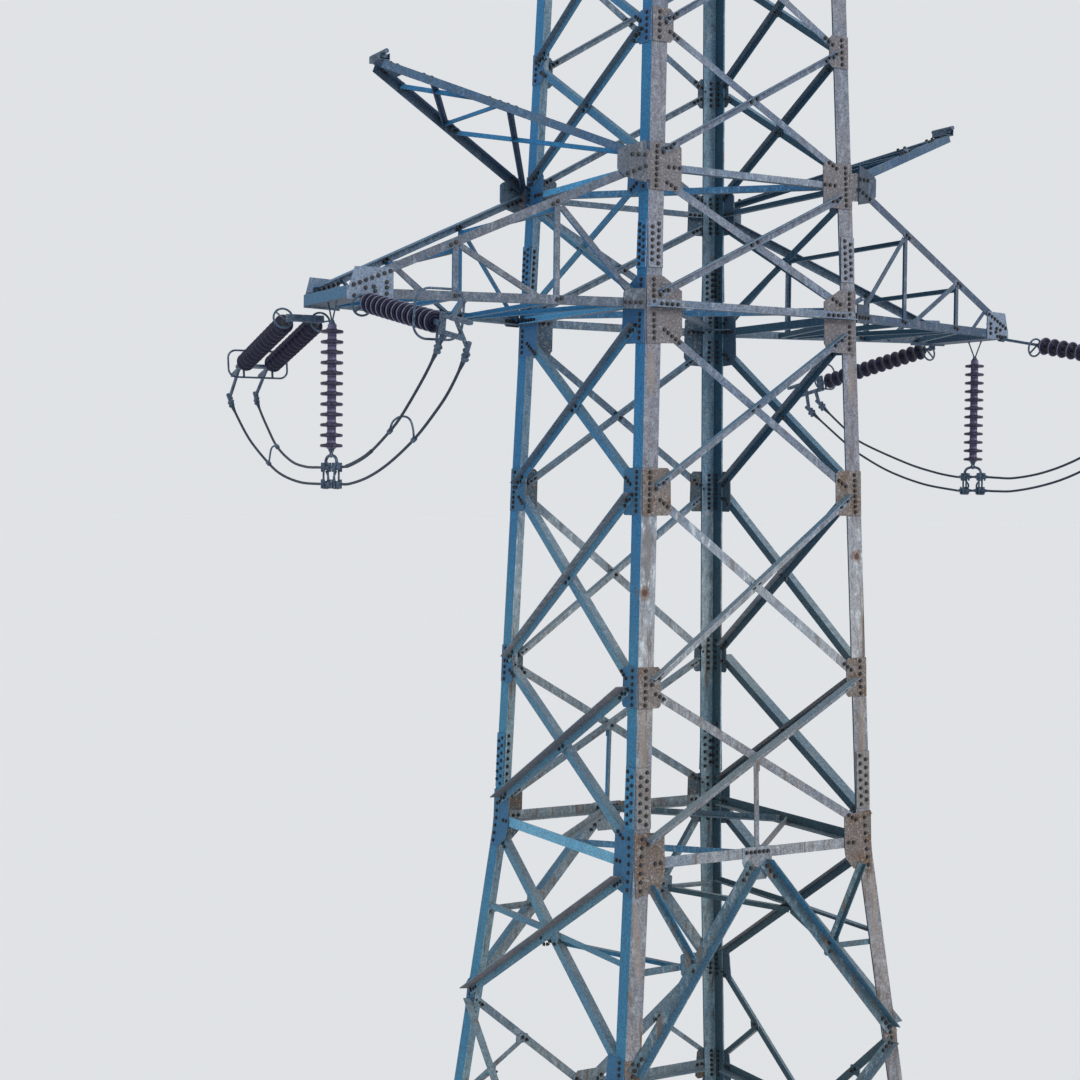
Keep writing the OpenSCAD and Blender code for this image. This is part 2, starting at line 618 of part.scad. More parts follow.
// Earth wire horns: a flat V frame that rises from the two upper gussets of one side
function horn_root() = [-hw(z1) - gusset_t - 2, -hw(z1) + 30, z1 + 120];
function horn_tip() = [-horn_x, -horn_tip_gap / 2, z1 + horn_rise];
module horn() {
  a = horn_root();
  b = horn_tip();
  fa = [a[0], -a[1], a[2]];
  fb = [b[0], -b[1], b[2]];
  n = unit(cross(b - a, fa - a));
  nn = n[2] > 0 ? n : -n;
  angle_bar(a, b, nn, horn_w, bar_t, 1, 0, 0, 0, 0);
  angle_bar(fa, fb, nn, horn_w, bar_t, -1, 0, 0, 0, 0);
  // crossed lacing under the chords: shares of the near and of the far chord
  for (r = [[0.02, 0.49], [0.52, 0.02], [0.55, 0.56], [0.61, 0.85], [0.81, 0.57]])
    angle_bar(mix(a, b, r[0]), mix(fa, fb, r[1]), nn, lace_w - 5, bar_t, 1, weld - bar_t);
  plate_at(mix(b, fb, 0.5), [-1, 0, 0], nn, gusset_t + weld, -bar_t - gusset_t)
    polygon([[-260, -150], [40, -110], [70, -60], [70, 60], [40, 110], [-260, 150]]);
}
module horn_left() { color(c_bar) horn(); }
module horn_right() { color(c_bar) mirror([1, 0, 0]) horn(); }
module earth_wire_shoe() {
  translate([-horn_x - fs(20), 0, horn_tip()[2]]) {
    // channel across the tip plate, with a clamp between its walls
    translate([-fs(65), -fs(130), 0]) cube([fs(130), fs(260), bar_t]);
    for (x = [-fs(65), fs(65) - bar_t]) translate([x, -fs(130), 0]) cube([bar_t, fs(260), fs(75)]);
    for (y = [-fs(80), fs(80)]) translate([-fs(58), y - fs(22), fs(30)]) cube([fs(116), fs(44), fs(40)]);
    translate([0, fs(190), fs(85)]) rotate([90, 0, 0]) cylinder(d = fs(52), h = fs(380));
  }
}
module earth_wire_shoes() {
  color(c_fit) { earth_wire_shoe(); mirror([1, 0, 0]) earth_wire_shoe(); }
}

// Fittings are sized from the metal cap of a disc
function fs(v) = v * cap_d / 92;

// A string of cap and pin discs along +Z from the origin, n discs at pitch p
module disc_string(n, p, d) {
  r = d / 2;
  c = cap_d / 2;
  rotate_extrude() polygon(concat([[0, 0]],
    [for (i = [0:n - 1]) let (z = i * p) each
      [[c * 0.8, z], [c, z + p * 0.10], [c, z + p * 0.50], [r * 0.72, z + p * 0.56],
       [r, z + p * 0.70], [r, z + p * 0.78], [r * 0.66, z + p * 0.80], [c * 0.8, z + p * 0.90]]],
    [[c * 0.8, n * p], [0, n * p]]));
}
// Places children with +Z along the string's run: turn from +Y towards +X, fall below level
function run_dir(turn, far) = [sin(turn) * cos(pull_fall), (far ? 1 : -1) * cos(turn) * cos(pull_fall),
  -sin(pull_fall)];
module run(o, d) {
  v = unit(cross([0, 0, 1], d));
  w = cross(d, v);
  along(o, v, w, d) children();
}
string_l = pull_n * pull_pitch;
hang_l = hang_n * hang_pitch;
lug_z = z2 - 40 - gusset_t;
// Start of a tension set under the tip beam's end, its direction and its link
function set_start(s, far) = far
  ? [s * tip_x + (s < 0 ? -fs(100) : 0), tip_y + fs(60), lug_z - fs(s < 0 ? 140 : 40)]
  : [s * (tip_x - fs(20)), -tip_y - fs(20), lug_z - fs(s < 0 ? 40 : 10)];
function set_dir(s, far) = run_dir(far ? -s * far_turn : s * near_turn, far);
function set_link(s, far) = far ? near_link : (s > 0 ? long_link : near_link);
// Starts of the strings of a set: the far left one is a pair
function set_x(s, far) = s < 0 && far ? [-pair_gap / 2, pair_gap / 2] : [0];
function set_end(s, far) = set_start(s, far) + set_dir(s, far) * (set_link(s, far) + string_l);
module tension_set(s, far) {
  for (x = set_x(s, far)) run(set_start(s, far) + [x, 0, 0] + set_dir(s, far) * set_link(s, far),
    set_dir(s, far)) disc_string(pull_n, pull_pitch, pull_d);
}
module tension_strings_left() { color(c_disc) { tension_set(-1, true); tension_set(-1, false); } }
module tension_strings_right() { color(c_disc) { tension_set(1, true); tension_set(1, false); } }

// Rounded arcing ring across the string, w wide and h high, on bars from its lower side
module arcing_ring(w, h, lift, at) {
  r = min(w, h) * 0.3;
  translate([0, lift, 0]) {
    for (x = [-1, 1]) translate([x * w / 2, h / 2 - r, 0]) rotate([90, 0, 0])
      cylinder(d = horn_d, h = h - 2 * r, $fn = 12);
    for (y = [-1, 1]) translate([r - w / 2, y * h / 2, 0]) rotate([0, 90, 0])
      cylinder(d = horn_d, h = w - 2 * r, $fn = 12);
    for (k = [0:3]) translate([(k == 0 || k == 3 ? 1 : -1) * (w / 2 - r),
      (k < 2 ? 1 : -1) * (h / 2 - r), 0]) rotate([0, 0, 90 * k])
        rotate_extrude(angle = 90) translate([r, 0]) circle(d = horn_d, $fn = 12);
  }
  for (x = at) translate([x - horn_d / 2, lift - h / 2, -horn_d / 3])
    cube([horn_d, h / 2 - lift, horn_d * 2 / 3]);
}
// Small ring at the tower end, shifted off the string towards angle a
module end_ring(r, a, shift) {
  rotate([0, 0, a]) translate([shift, 0, 0]) {
    rotate_extrude() translate([r, 0]) circle(d = horn_d, $fn = 12);
    translate([-r, -horn_d / 3, -horn_d / 3]) cube([2 * r, horn_d * 2 / 3, horn_d * 2 / 3]);
  }
}
// Fittings of one string: link and small ring at the tower end, socket at the line end
module string_fittings(o, d, link, a) {
  run(o, d) {
    translate([0, 0, -fs(30)]) cylinder(d = fs(36), h = link + fs(34), $fn = 16);
    translate([-fs(9), -fs(34), -fs(50)]) cube([fs(18), fs(68), fs(100)]);
    translate([0, 0, link - fs(22)]) end_ring(fs(108), a, fs(50));
    translate([0, 0, link + string_l - fs(4)]) cylinder(d = fs(60), h = fs(130), $fn = 16);
  }
}
// Square bar from p to q
module strap(p, q, a, b) {
  e = unit(q - p);
  v = unit(cross(abs(e[0]) > 0.9 ? [0, 0, 1] : [1, 0, 0], e));
  along(p, v, cross(e, v), e) translate([-a / 2, -b / 2, 0]) cube([a, b, norm(q - p)]);
}
// Dead-end clamp on the line through o; t along it a tongue goes to the jumper's terminal
module dead_end(o, d, t, q, qd) {
  run(o, d) {
    cylinder(d = dead_d, h = fs(420));
    translate([0, 0, fs(420)]) cylinder(d1 = dead_d, d2 = wire_d + fs(8), h = fs(60));
  }
  strap(o + d * t, q + qd * fs(40), fs(50), fs(24));
  // terminal sleeve in line with the jumper's end
  v = unit(cross([1, 0, 0], qd));
  along(q, v, cross(qd, v), qd) cylinder(d = wire_d + fs(18), h = fs(110));
}
// Yoke plate and dead-end clamps of a set; a and b are the jumpers that it takes
module set_fittings(s, far, a, b) {
  o = set_start(s, far);
  d = set_dir(s, far);
  link = set_link(s, far);
  gaps = set_x(s, far);
  pair = len(gaps) > 1;
  out = link + string_l;
  for (x = gaps) string_fittings(o + [x, 0, 0], d, link, pair ? (x < 0 ? 40 : 170) : 225);
  run(o, d) {
    translate([0, 0, out + fs(50)])
      if (pair) arcing_ring(fs(720), fs(330), 0, [pair_gap / 2, -pair_gap / 2]);
      else arcing_ring(fs(s < 0 ? 500 : 400), fs(s < 0 ? 480 : 360), fs(80), [0]);
    if (pair) {
      translate([-pair_gap / 2 - fs(40), -fs(40), -fs(60)]) cube([pair_gap + fs(80), fs(80), fs(20)]);
      translate([-pair_gap / 2 - fs(60), -fs(14), out + fs(100)])
        cube([pair_gap + fs(120), fs(28), fs(110)]);
    } else translate([-fs(14), -fs(110), out + fs(100)]) cube([fs(28), fs(220), fs(110)]);
  }
  c = o + d * (out + fs(190));
  u = pair ? [pair_gap / 2, 0, 0] : [0, 0, -fs(80)];
  dead_end(c + u, d, fs(pair ? 110 : 60), end_of(a, far), end_dir(a, far));
  dead_end(c - u + (pair ? [0, 0, 0] : d * fs(170)), d, fs(110), end_of(b, far), end_dir(b, far));
  if (!pair) strap(c - u - d * fs(40), c - u + d * fs(180), fs(30), fs(30));
}
module tension_fittings_left() {
  color(c_fit) {
    set_fittings(-1, true, at_left(left_upper, 0), at_left(left_lower, 1));
    set_fittings(-1, false, at_left(left_upper, 0), at_left(left_lower, 1));
  }
}
module tension_fittings_right() {
  color(c_fit) {
    set_fittings(1, true, at_right(right_upper, 0), at_right(right_lower, 1));
    set_fittings(1, false, at_right(right_upper, 0), at_right(right_lower, 1));
  }
}

// Jumper strings hang from a V of straps under each tip beam
hang_drop = fs(240);
hang_top = lug_z - hang_drop;
function hang_x(s) = tip_x + fs(s > 0 ? 130 : 50);
module jumper_string(s) {
  color(c_disc) translate([s * hang_x(s), 0, hang_top]) mirror([0, 0, 1])
    disc_string(hang_n, hang_pitch, disc_d);
}
module jumper_string_left() { jumper_string(-1); }
module jumper_string_right() { jumper_string(1); }
yoke_top = hang_top - hang_l;
clamps = [yoke_top - fs(198), yoke_top - fs(378)];
clamp_y = fs(150);
module jumper_yoke(s) {
  translate([s * hang_x(s), 0, 0]) {
    // V straps and socket
    for (y = [-1, 1]) translate([0, 0, hang_top + fs(20)]) rotate([y * 28, 0, 0])
      translate([-fs(8), -fs(10), 0]) cube([fs(16), fs(20), hang_drop / cos(28) - fs(8)]);
    translate([0, 0, hang_top - fs(2)]) cylinder(d = fs(70), h = fs(60));
    // socket and horseshoe yoke below the string
    translate([0, 0, yoke_top - fs(70)]) cylinder(d = fs(50), h = fs(72));
    difference() {
      union() {
        translate([-fs(10), 0, yoke_top]) rotate([90, 0, 90]) linear_extrude(height = fs(20))
          scale(fs(1)) polygon([[-172, -225], [-172, -150], [-80, -62], [80, -62], [172, -150],
            [172, -225], [128, -225], [128, -168], [62, -108], [-62, -108], [-128, -168], [-128, -225]]);
        for (y = [-1, 1]) translate([-fs(10), y * clamp_y - fs(18), clamps[1]])
          cube([fs(20), fs(36), clamps[0] - clamps[1]]);
        for (y = [-1, 1], z = clamps) translate([0, y * clamp_y - fs(60), z]) rotate([-90, 0, 0])
          cylinder(d = wire_d + fs(30), h = fs(120));
      }
      // the jumpers pass through
      for (y = [-1, 1], z = clamps) translate([0, y * clamp_y - fs(70), z]) rotate([-90, 0, 0])
        cylinder(d = wire_d, h = fs(140));
    }
  }
}
module jumper_yokes() {
  color(c_fit) { jumper_yoke(-1); jumper_yoke(1); }
}

// Jumpers: tubes swept along these points, measured from the middle of their clamps
left_upper = [[250, 3000, 860], [225, 2810, 720], [175, 2410, 490], [120, 1935, 250], [60, 1320, 75],
  [20, 790, 10], [0, 350, 0], [0, 230, 0], [0, 0, 0], [0, -230, 0], [0, -500, 20], [-10, -1000, 130],
  [-20, -1500, 325], [-30, -1860, 500], [-40, -2350, 825], [-50, -2640, 1045], [-55, -2740, 1140]];
left_lower = [[-80, 3000, 1000], [-75, 2820, 840], [-55, 2370, 510], [-35, 1750, 215], [-25, 1350, 90],
  [-10, 850, 15], [0, 350, 0], [0, 230, 0], [0, 0, 0], [0, -230, 0], [5, -500, 5], [15, -950, 75],
  [25, -1445, 215], [45, -1990, 445], [60, -2420, 690], [70, -2710, 890], [80, -2980, 1150],
  [80, -3050, 1235]];
right_upper = [[-325, 2830, 1030], [-245, 2370, 680], [-195, 2060, 480], [-85, 1230, 190],
  [-30, 700, 60], [0, 350, 5], [0, 230, 0], [0, 0, 0], [0, -230, 0], [0, -450, -10], [0, -750, -15],
  [0, -1200, 40], [0, -1650, 150], [0, -2050, 300], [0, -2450, 530], [0, -2850, 820], [-5, -3230, 1120]];
right_lower = [[-365, 3015, 1125], [-245, 2370, 665], [-195, 2055, 480], [-125, 1535, 255],
  [-55, 920, 85], [0, 350, 5], [0, 230, 0], [0, 0, 0], [0, -230, 0], [0, -450, -5], [0, -750, 0],
  [0, -1200, 60], [0, -1660, 165], [0, -2100, 325], [0, -2550, 560], [0, -3000, 860],
  [0, -3350, 1130], [0, -3540, 1290]];
function at_left(p, i) = [for (q = p) q + [-hang_x(-1), 0, clamps[i]]];
function at_right(p, i) = [for (q = p) q + [hang_x(1), 0, clamps[i]]];
cord_sides = 8;
function cr(p, i) = p[max(0, min(len(p) - 1, i))];
function spline(a, b, c, d, t) = 0.5 * (2 * b + (c - a) * t + (2 * a - 5 * b + 4 * c - d) * t * t
  + (3 * b - a - 3 * c + d) * t * t * t);
function path(p, k) = [for (i = [0:len(p) - 2], j = [0:k - 1])
  spline(cr(p, i - 1), cr(p, i), cr(p, i + 1), cr(p, i + 2), j / k), p[len(p) - 1]];
function end_of(p, far) = far ? p[0] : p[len(p) - 1];
function end_dir(p, far) = let (q = path(p, 4), n = len(q))
  far ? unit(q[0] - q[1]) : unit(q[n - 1] - q[n - 2]);
module tube(pts, d) {
  q = path(pts, 4);
  n = len(q);
  rings = [for (i = [0:n - 1]) let (
      t = unit(q[min(n - 1, i + 1)] - q[max(0, i - 1)]),
      v = unit(cross([1, 0, 0], t)),
      w = cross(t, v))
    for (j = [0:cord_sides - 1]) q[i] + (v * cos(360 * j / cord_sides)
      + w * sin(360 * j / cord_sides)) * d / 2];
  m = cord_sides;
  polyhedron(points = rings, convexity = 6, faces = concat(
    [[for (j = [0:m - 1]) j]],
    [for (i = [0:n - 2], j = [0:m - 1]) [i * m + j, (i + 1) * m + j, (i + 1) * m + (j + 1) % m,
      i * m + (j + 1) % m]],
    [[for (j = [m - 1:-1:0]) (n - 1) * m + j]]));
}
module jumper_left_upper() { color(c_wire) tube(at_left(left_upper, 0), wire_d); }
module jumper_left_lower() { color(c_wire) tube(at_left(left_lower, 1), wire_d); }
module jumper_right_upper() { color(c_wire) tube(at_right(right_upper, 0), wire_d); }
module jumper_right_lower() { color(c_wire) tube(at_right(right_lower, 1), wire_d); }

leg_near_left();
leg_near_right();
leg_far_left();
leg_far_right();
base_plates();
base_bracing_near();
base_bracing_far();
base_bracing_left();
base_bracing_right();
waist_bracing_near();
waist_bracing_far();
waist_bracing_left();
waist_bracing_right();
body_bracing_near();
body_bracing_far();
body_bracing_left();
body_bracing_right();
ring_chords();
plan_bracing_waist();
plan_bracing_crossarm();
gusset_plates_lower();
gusset_plates_upper();
splice_plates();
peak();
crossarm_left_near();
crossarm_left_far();
crossarm_right_near();
crossarm_right_far();
crossarm_left_ties();
crossarm_right_ties();
crossarm_tips();
horn_left();
horn_right();
earth_wire_shoes();
tension_strings_left();
tension_strings_right();
tension_fittings_left();
tension_fittings_right();
jumper_string_left();
jumper_string_right();
jumper_yokes();
jumper_left_upper();
jumper_left_lower();
jumper_right_upper();
jumper_right_lower();
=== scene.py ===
"""Looks of a lattice transmission pylon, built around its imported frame."""
import json
import math

import bmesh
import bpy
from mathutils import Matrix, Vector


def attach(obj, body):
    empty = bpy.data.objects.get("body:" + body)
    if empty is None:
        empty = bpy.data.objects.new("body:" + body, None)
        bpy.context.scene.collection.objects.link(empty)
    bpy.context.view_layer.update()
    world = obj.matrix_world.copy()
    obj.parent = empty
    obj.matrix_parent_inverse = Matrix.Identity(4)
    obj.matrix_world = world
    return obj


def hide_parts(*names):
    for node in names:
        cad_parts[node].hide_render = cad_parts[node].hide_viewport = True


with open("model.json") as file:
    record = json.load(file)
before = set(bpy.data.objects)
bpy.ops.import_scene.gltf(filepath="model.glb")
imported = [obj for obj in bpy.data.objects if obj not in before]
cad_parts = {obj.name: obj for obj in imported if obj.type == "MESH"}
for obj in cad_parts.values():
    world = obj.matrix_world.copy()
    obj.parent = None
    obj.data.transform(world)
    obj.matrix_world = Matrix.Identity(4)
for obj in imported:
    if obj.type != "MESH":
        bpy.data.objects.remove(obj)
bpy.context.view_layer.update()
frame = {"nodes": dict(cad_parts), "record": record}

# Sizes shared with the part's source, lengths in metres and angles in degrees
RING_Z = 8.28
KNEE_Z = RING_Z + 1.435
WAIST_Z = KNEE_Z + 2.245
BODY_4_Z = WAIST_Z + 1.91
BODY_3_Z = BODY_4_Z + 2.13
ARM_LOW_Z = BODY_3_Z + 2.05
ARM_TOP_Z = ARM_LOW_Z + 1.495
BODY_0_Z = ARM_TOP_Z + 1.545
CROWN_Z = BODY_0_Z + 1.55
CAP_RING_Z = CROWN_Z - 0.06
WAIST_HALF = 1.627
TAPER_UP = 0.0315
TAPER_DOWN = 0.104
LEG_T = 0.02
PLATE_T = 0.012
SPLICE_T = 0.014
BAR_T = 0.009
WORK_IN = 0.105
TIP_X = 4.45
TIP_Y = 0.63
TIP_H = 0.12
LACE_X = (2.4, 3.47)
HORN_X = 3.95
HORN_RISE = 1.07
HORN_GAP = 0.15
PULL_PITCH = 0.146
PULL_COUNT = 13
PULL_D = 0.22
PULL_FALL = 10.5
FAR_TURN = 6.0
NEAR_TURN = 3.0
PAIR_GAP = 0.35
NEAR_LINK = 0.12
LONG_LINK = 0.64
HANG_PITCH = 0.111
HANG_COUNT = 12
HANG_D = 0.245
LUG_Z = ARM_LOW_Z - 0.04 - PLATE_T
HANG_TOP = LUG_Z - 0.24
HANG_X = {-1: TIP_X + 0.05, 1: TIP_X + 0.13}
YOKE_TOP = HANG_TOP - HANG_COUNT * HANG_PITCH
CLAMP_Z = (YOKE_TOP - 0.198, YOKE_TOP - 0.378)
CLAMP_Y = 0.15
WIRE_D = 0.03

# Bolts: their sizes, how proud of the leg's face their heads sit and what they grip
BOLT_SIZES = {"Head width": 0.038, "Head height": 0.016, "Washer width": 0.046,
              "Thread width": 0.022, "Thread length": 0.034}
BAR_PROUD = PLATE_T + BAR_T
HEAVY_PROUD = PLATE_T + 0.011
BAR_GRIP = PLATE_T + BAR_T
LEG_GRIP = PLATE_T + LEG_T
CROSS_GRIP = 0.03

# The camera's turn, dip and roll in degrees, its place in metres and its lens in millimetres
CAMERA_TURNS = (29.055, -1.691, 0.593)
CAMERA_PLACE = (-12.0708, -18.265, 16.0487)
CAMERA_LENS = 60.88

# Signs along X and Y: of the sides, of the corners, and of the two edges of every face
SIDES = ((-1, "left"), (1, "right"))
CORNERS = ((-1, -1), (-1, 1), (1, -1), (1, 1))
FACE_EDGES = [(k, m) for k in range(4) for m in (-1, 1)]
WHITE = (1.0, 1.0, 1.0)

scene = bpy.context.scene
scene.view_settings.view_transform = "Standard"


def put_in_scene(name, data):
    thing = bpy.data.objects.new(name, data)
    scene.collection.objects.link(thing)
    return thing


def make_camera():
    """The camera at the photograph's viewing angle."""
    yaw, pitch, roll = (math.radians(turn) for turn in CAMERA_TURNS)
    ahead = Vector((math.cos(pitch) * math.sin(yaw), math.cos(pitch) * math.cos(yaw), math.sin(pitch)))
    level = Vector((math.cos(yaw), -math.sin(yaw), 0.0))
    upright = level.cross(ahead)
    right = level * math.cos(roll) + upright * math.sin(roll)
    up = upright * math.cos(roll) - level * math.sin(roll)
    data = bpy.data.cameras.new("view_of_the_photograph")
    data.sensor_width = 36.0
    data.lens = CAMERA_LENS
    data.clip_end = 2000.0
    camera = put_in_scene("view_of_the_photograph", data)
    rotation = Matrix((right, up, -ahead)).transposed().to_4x4()
    camera.matrix_world = Matrix.Translation(CAMERA_PLACE) @ rotation
    scene.camera = camera


# The tower's faces: 0 near, 1 right, 2 far, 3 left
def taper(z):
    return TAPER_UP if z >= WAIST_Z else TAPER_DOWN


def half_width(z):
    return WAIST_HALF + taper(z) * (WAIST_Z - z)


def work_half(z):
    return half_width(z) - WORK_IN


def on_face(k, u, z, proud):
    """A point on face k, u across and z up, and the outward direction there."""
    out = Vector((0, -1, taper(z))).normalized()
    turn = Matrix.Rotation(math.radians(90 * k), 3, "Z")
    return turn @ (Vector((u, -half_width(z), z)) + out * proud), turn @ out


# Node trees, shading and geometry alike
def feed(socket, value):
    """Gives an input a number, a colour of three parts or another node's output."""
    if isinstance(value, bpy.types.NodeSocket):
        socket.id_data.links.new(value, socket)
    elif socket.type == "RGBA":
        socket.default_value = (*value, 1.0)
    else:
        socket.default_value = value


def add(tree, kind, values=None, **settings):
    """A node with its settings and its inputs."""
    node = tree.nodes.new(kind)
    for name, value in settings.items():
        setattr(node, name, value)
    for key, value in (values or {}).items():
        feed(node.inputs[key], value)
    return node


def result(tree, kind, values=None, **settings):
    """The first output of a node like that."""
    return add(tree, kind, values, **settings).outputs[0]


def tree_of(*values):
    """The node tree of the first output among some values."""
    return next(value.id_data for value in values if isinstance(value, bpy.types.NodeSocket))


def mix(factor, a, b, blend="MIX"):
    """Colour mix of a and b."""
    values = {0: factor, 6: a, 7: b}
    node = add(tree_of(factor, a, b), "ShaderNodeMix", values, data_type="RGBA", blend_type=blend)
    return node.outputs[2]


def tint(factor, tone, colour):
    """A tone multiplied by a colour, as far as the factor says."""
    return mix(factor, tone, colour, "MULTIPLY")


def calc(operation, a, b=0.0):
    return result(tree_of(a, b), "ShaderNodeMath", {0: a, 1: b}, operation=operation)


def times(a, b):
    return calc("MULTIPLY", a, b)


def plus(a, b):
    return calc("ADD", a, b)


def vector(operation, a, b=None, output="Vector"):
    values = {0: a} if b is None else {0: a, 1: b}
    return add(a.id_data, "ShaderNodeVectorMath", values, operation=operation).outputs[output]


def axes(value):
    """The X, Y and Z outputs of a vector."""
    return add(value.id_data, "ShaderNodeSeparateXYZ", {"Vector": value}).outputs


def noise(where, scale, detail=3.0, rough=0.55, stretch=None):
    """Noise on object coordinates, with its axes stretched where wanted."""
    tree = where.id_data
    if stretch:
        where = result(tree, "ShaderNodeMapping", {"Vector": where, "Scale": stretch})
    values = {"Vector": where, "Scale": scale, "Detail": detail, "Roughness": rough}
    return add(tree, "ShaderNodeTexNoise", values).outputs["Fac"]


def span(value, low, high, bottom=0.0, top=1.0):
    """Smooth step of a value from low to high."""
    values = {"Value": value, "From Min": low, "From Max": high, "To Min": bottom, "To Max": top}
    return result(value.id_data, "ShaderNodeMapRange", values, interpolation_type="SMOOTHSTEP")


def start_material(name):
    """A new material and its object coordinates."""
    material = bpy.data.materials.new(name)
    material.use_nodes = True
    return material, material.node_tree.nodes.new("ShaderNodeTexCoord").outputs["Object"]


def complete(material, tone, roughness, relief=None, **numbers):
    """Joins colour, roughness and relief (height, strength, distance) to the shader and sets its numbers."""
    tree = material.node_tree
    shader = tree.nodes["Principled BSDF"].inputs
    feed(shader["Base Color"], tone)
    feed(shader["Roughness"], roughness)
    if relief:
        bump = add(tree, "ShaderNodeBump", dict(zip(("Height", "Strength", "Distance"), relief)))
        feed(shader["Normal"], bump.outputs[0])
    for name, value in numbers.items():
        shader[name.replace("_", " ")].default_value = value
    return material


def normal_of(where):
    return where.id_data.nodes.new("ShaderNodeNewGeometry").outputs["Normal"]


def painted_light_by_facing(where, tones):
    """Painted light and shade: a tone for each way a face looks (near, left, other, up), with painted shade
    on the insides of near and left.
    """
    normal = normal_of(where)
    looks = axes(normal)
    near = span(times(looks["Y"], -1.0), 0.35, 0.85)
    left = span(times(looks["X"], -1.0), 0.35, 0.85)
    sky = span(looks["Z"], 0.45, 0.9)
    outwards = vector("NORMALIZE", vector("MULTIPLY", where, (1.0, 1.0, 0.0)))
    inward = span(times(vector("DOT_PRODUCT", outwards, normal, "Value"), -1.0), 0.2, 0.6)
    # painted light on the outer near and left tones (key light, blue sky light), painted shade on the inner
    # tones
    outer, inner = (mix(left, mix(near, tones["other"], tones["near" + painted_shade_suffix]), tones["left" + painted_shade_suffix])
                    for painted_shade_suffix in ("", "_inner"))
    return mix(sky, mix(inward, outer, inner), tones["sky"]), near


def blotch(where, centre, size, wobble):
    """A stain round one place, with a ragged edge."""
    scaled = vector("MULTIPLY", vector("SUBTRACT", where, centre), tuple(1 / c for c in size))
    reach = vector("LENGTH", scaled, output="Value")
    return span(plus(reach, times(wobble, 1.3)), 1.75, 1.35)


# Painted light and shade by facing: near tones as if lit by the key light, left tones as if lit by blue sky,
# inner tones painted shade, sky tones for faces lit from above
ZINC_TONES = {
    "near": (0.168, 0.2, 0.262), "left": (0.03, 0.18, 0.365), "other": (0.1, 0.14, 0.185),
    "near_inner": (0.15, 0.21, 0.275), "left_inner": (0.026, 0.075, 0.12), "sky": (0.12, 0.22, 0.31)}
PLATE_TONES = {
    "near": (0.182, 0.157, 0.149), "left": (0.031, 0.135, 0.26), "other": (0.1, 0.12, 0.145),
    "near_inner": (0.07, 0.11, 0.14), "left_inner": (0.03, 0.065, 0.1), "sky": (0.14, 0.17, 0.2)}
# Galvanised finishes: painted light and shade tones of their own by facing, rust, speckle, lichen, marks and
# the nodes or slot that wear them
ZINC_FINISHES = {
    "weathered_galvanised_angle": ({}, 0.4, 0.3, 0.3, "", "angle_steel"),
    "galvanised_leg_angle": (
        {"near": (0.2, 0.21, 0.252), "near_inner": (0.17, 0.275, 0.365)}, 0.6, 0.3, 0.3, "legs",
        "leg_near_left leg_near_right leg_far_left leg_far_right"),
    "grey_blue_galvanised_angle": (
        {"left": (0.066, 0.205, 0.345)}, 0.5, 0.3, 0.3, "",
        "base_bracing_left waist_bracing_left body_bracing_left"),
    "light_galvanised_chord_angle": (
        {"near": (0.2, 0.24, 0.31), "left": (0.09, 0.34, 0.6)}, 0.5, 0.3, 0.4, "", "ring_chords"),
    "blue_grey_galvanised_angle": ({"near": (0.075, 0.135, 0.19)}, 0.6, 0.3, 0.3, "", "waist_bracing_near"),
    "galvanised_arm_angle": (
        {"near": (0.135, 0.155, 0.195)}, 0.4, 0.3, 0.2, "roots", "crossarm_left_near crossarm_left_far"),
    "galvanised_right_arm_angle": (
        {"near": (0.08, 0.11, 0.165), "other": (0.06, 0.1, 0.15)}, 0.4, 0.3, 0.2, "roots",
        "crossarm_right_near crossarm_right_far"),
    "blue_galvanised_horn_angle": (
        {"near": (0.062, 0.115, 0.19), "other": (0.045, 0.08, 0.14), "near_inner": (0.06, 0.1, 0.15),
         "sky": (0.08, 0.14, 0.22)}, 0.2, 0.25, 0.1, "", "horn_left horn_right"),
}
# The same painted light and shade by facing, for splice and tip plates
SPLICE_TONES = dict(PLATE_TONES, near=(0.25, 0.25, 0.26), left=(0.033, 0.2, 0.375))
TIP_TONES = dict(PLATE_TONES, near=(0.215, 0.26, 0.31), left=(0.07, 0.165, 0.235),
                 near_inner=(0.12, 0.19, 0.26))


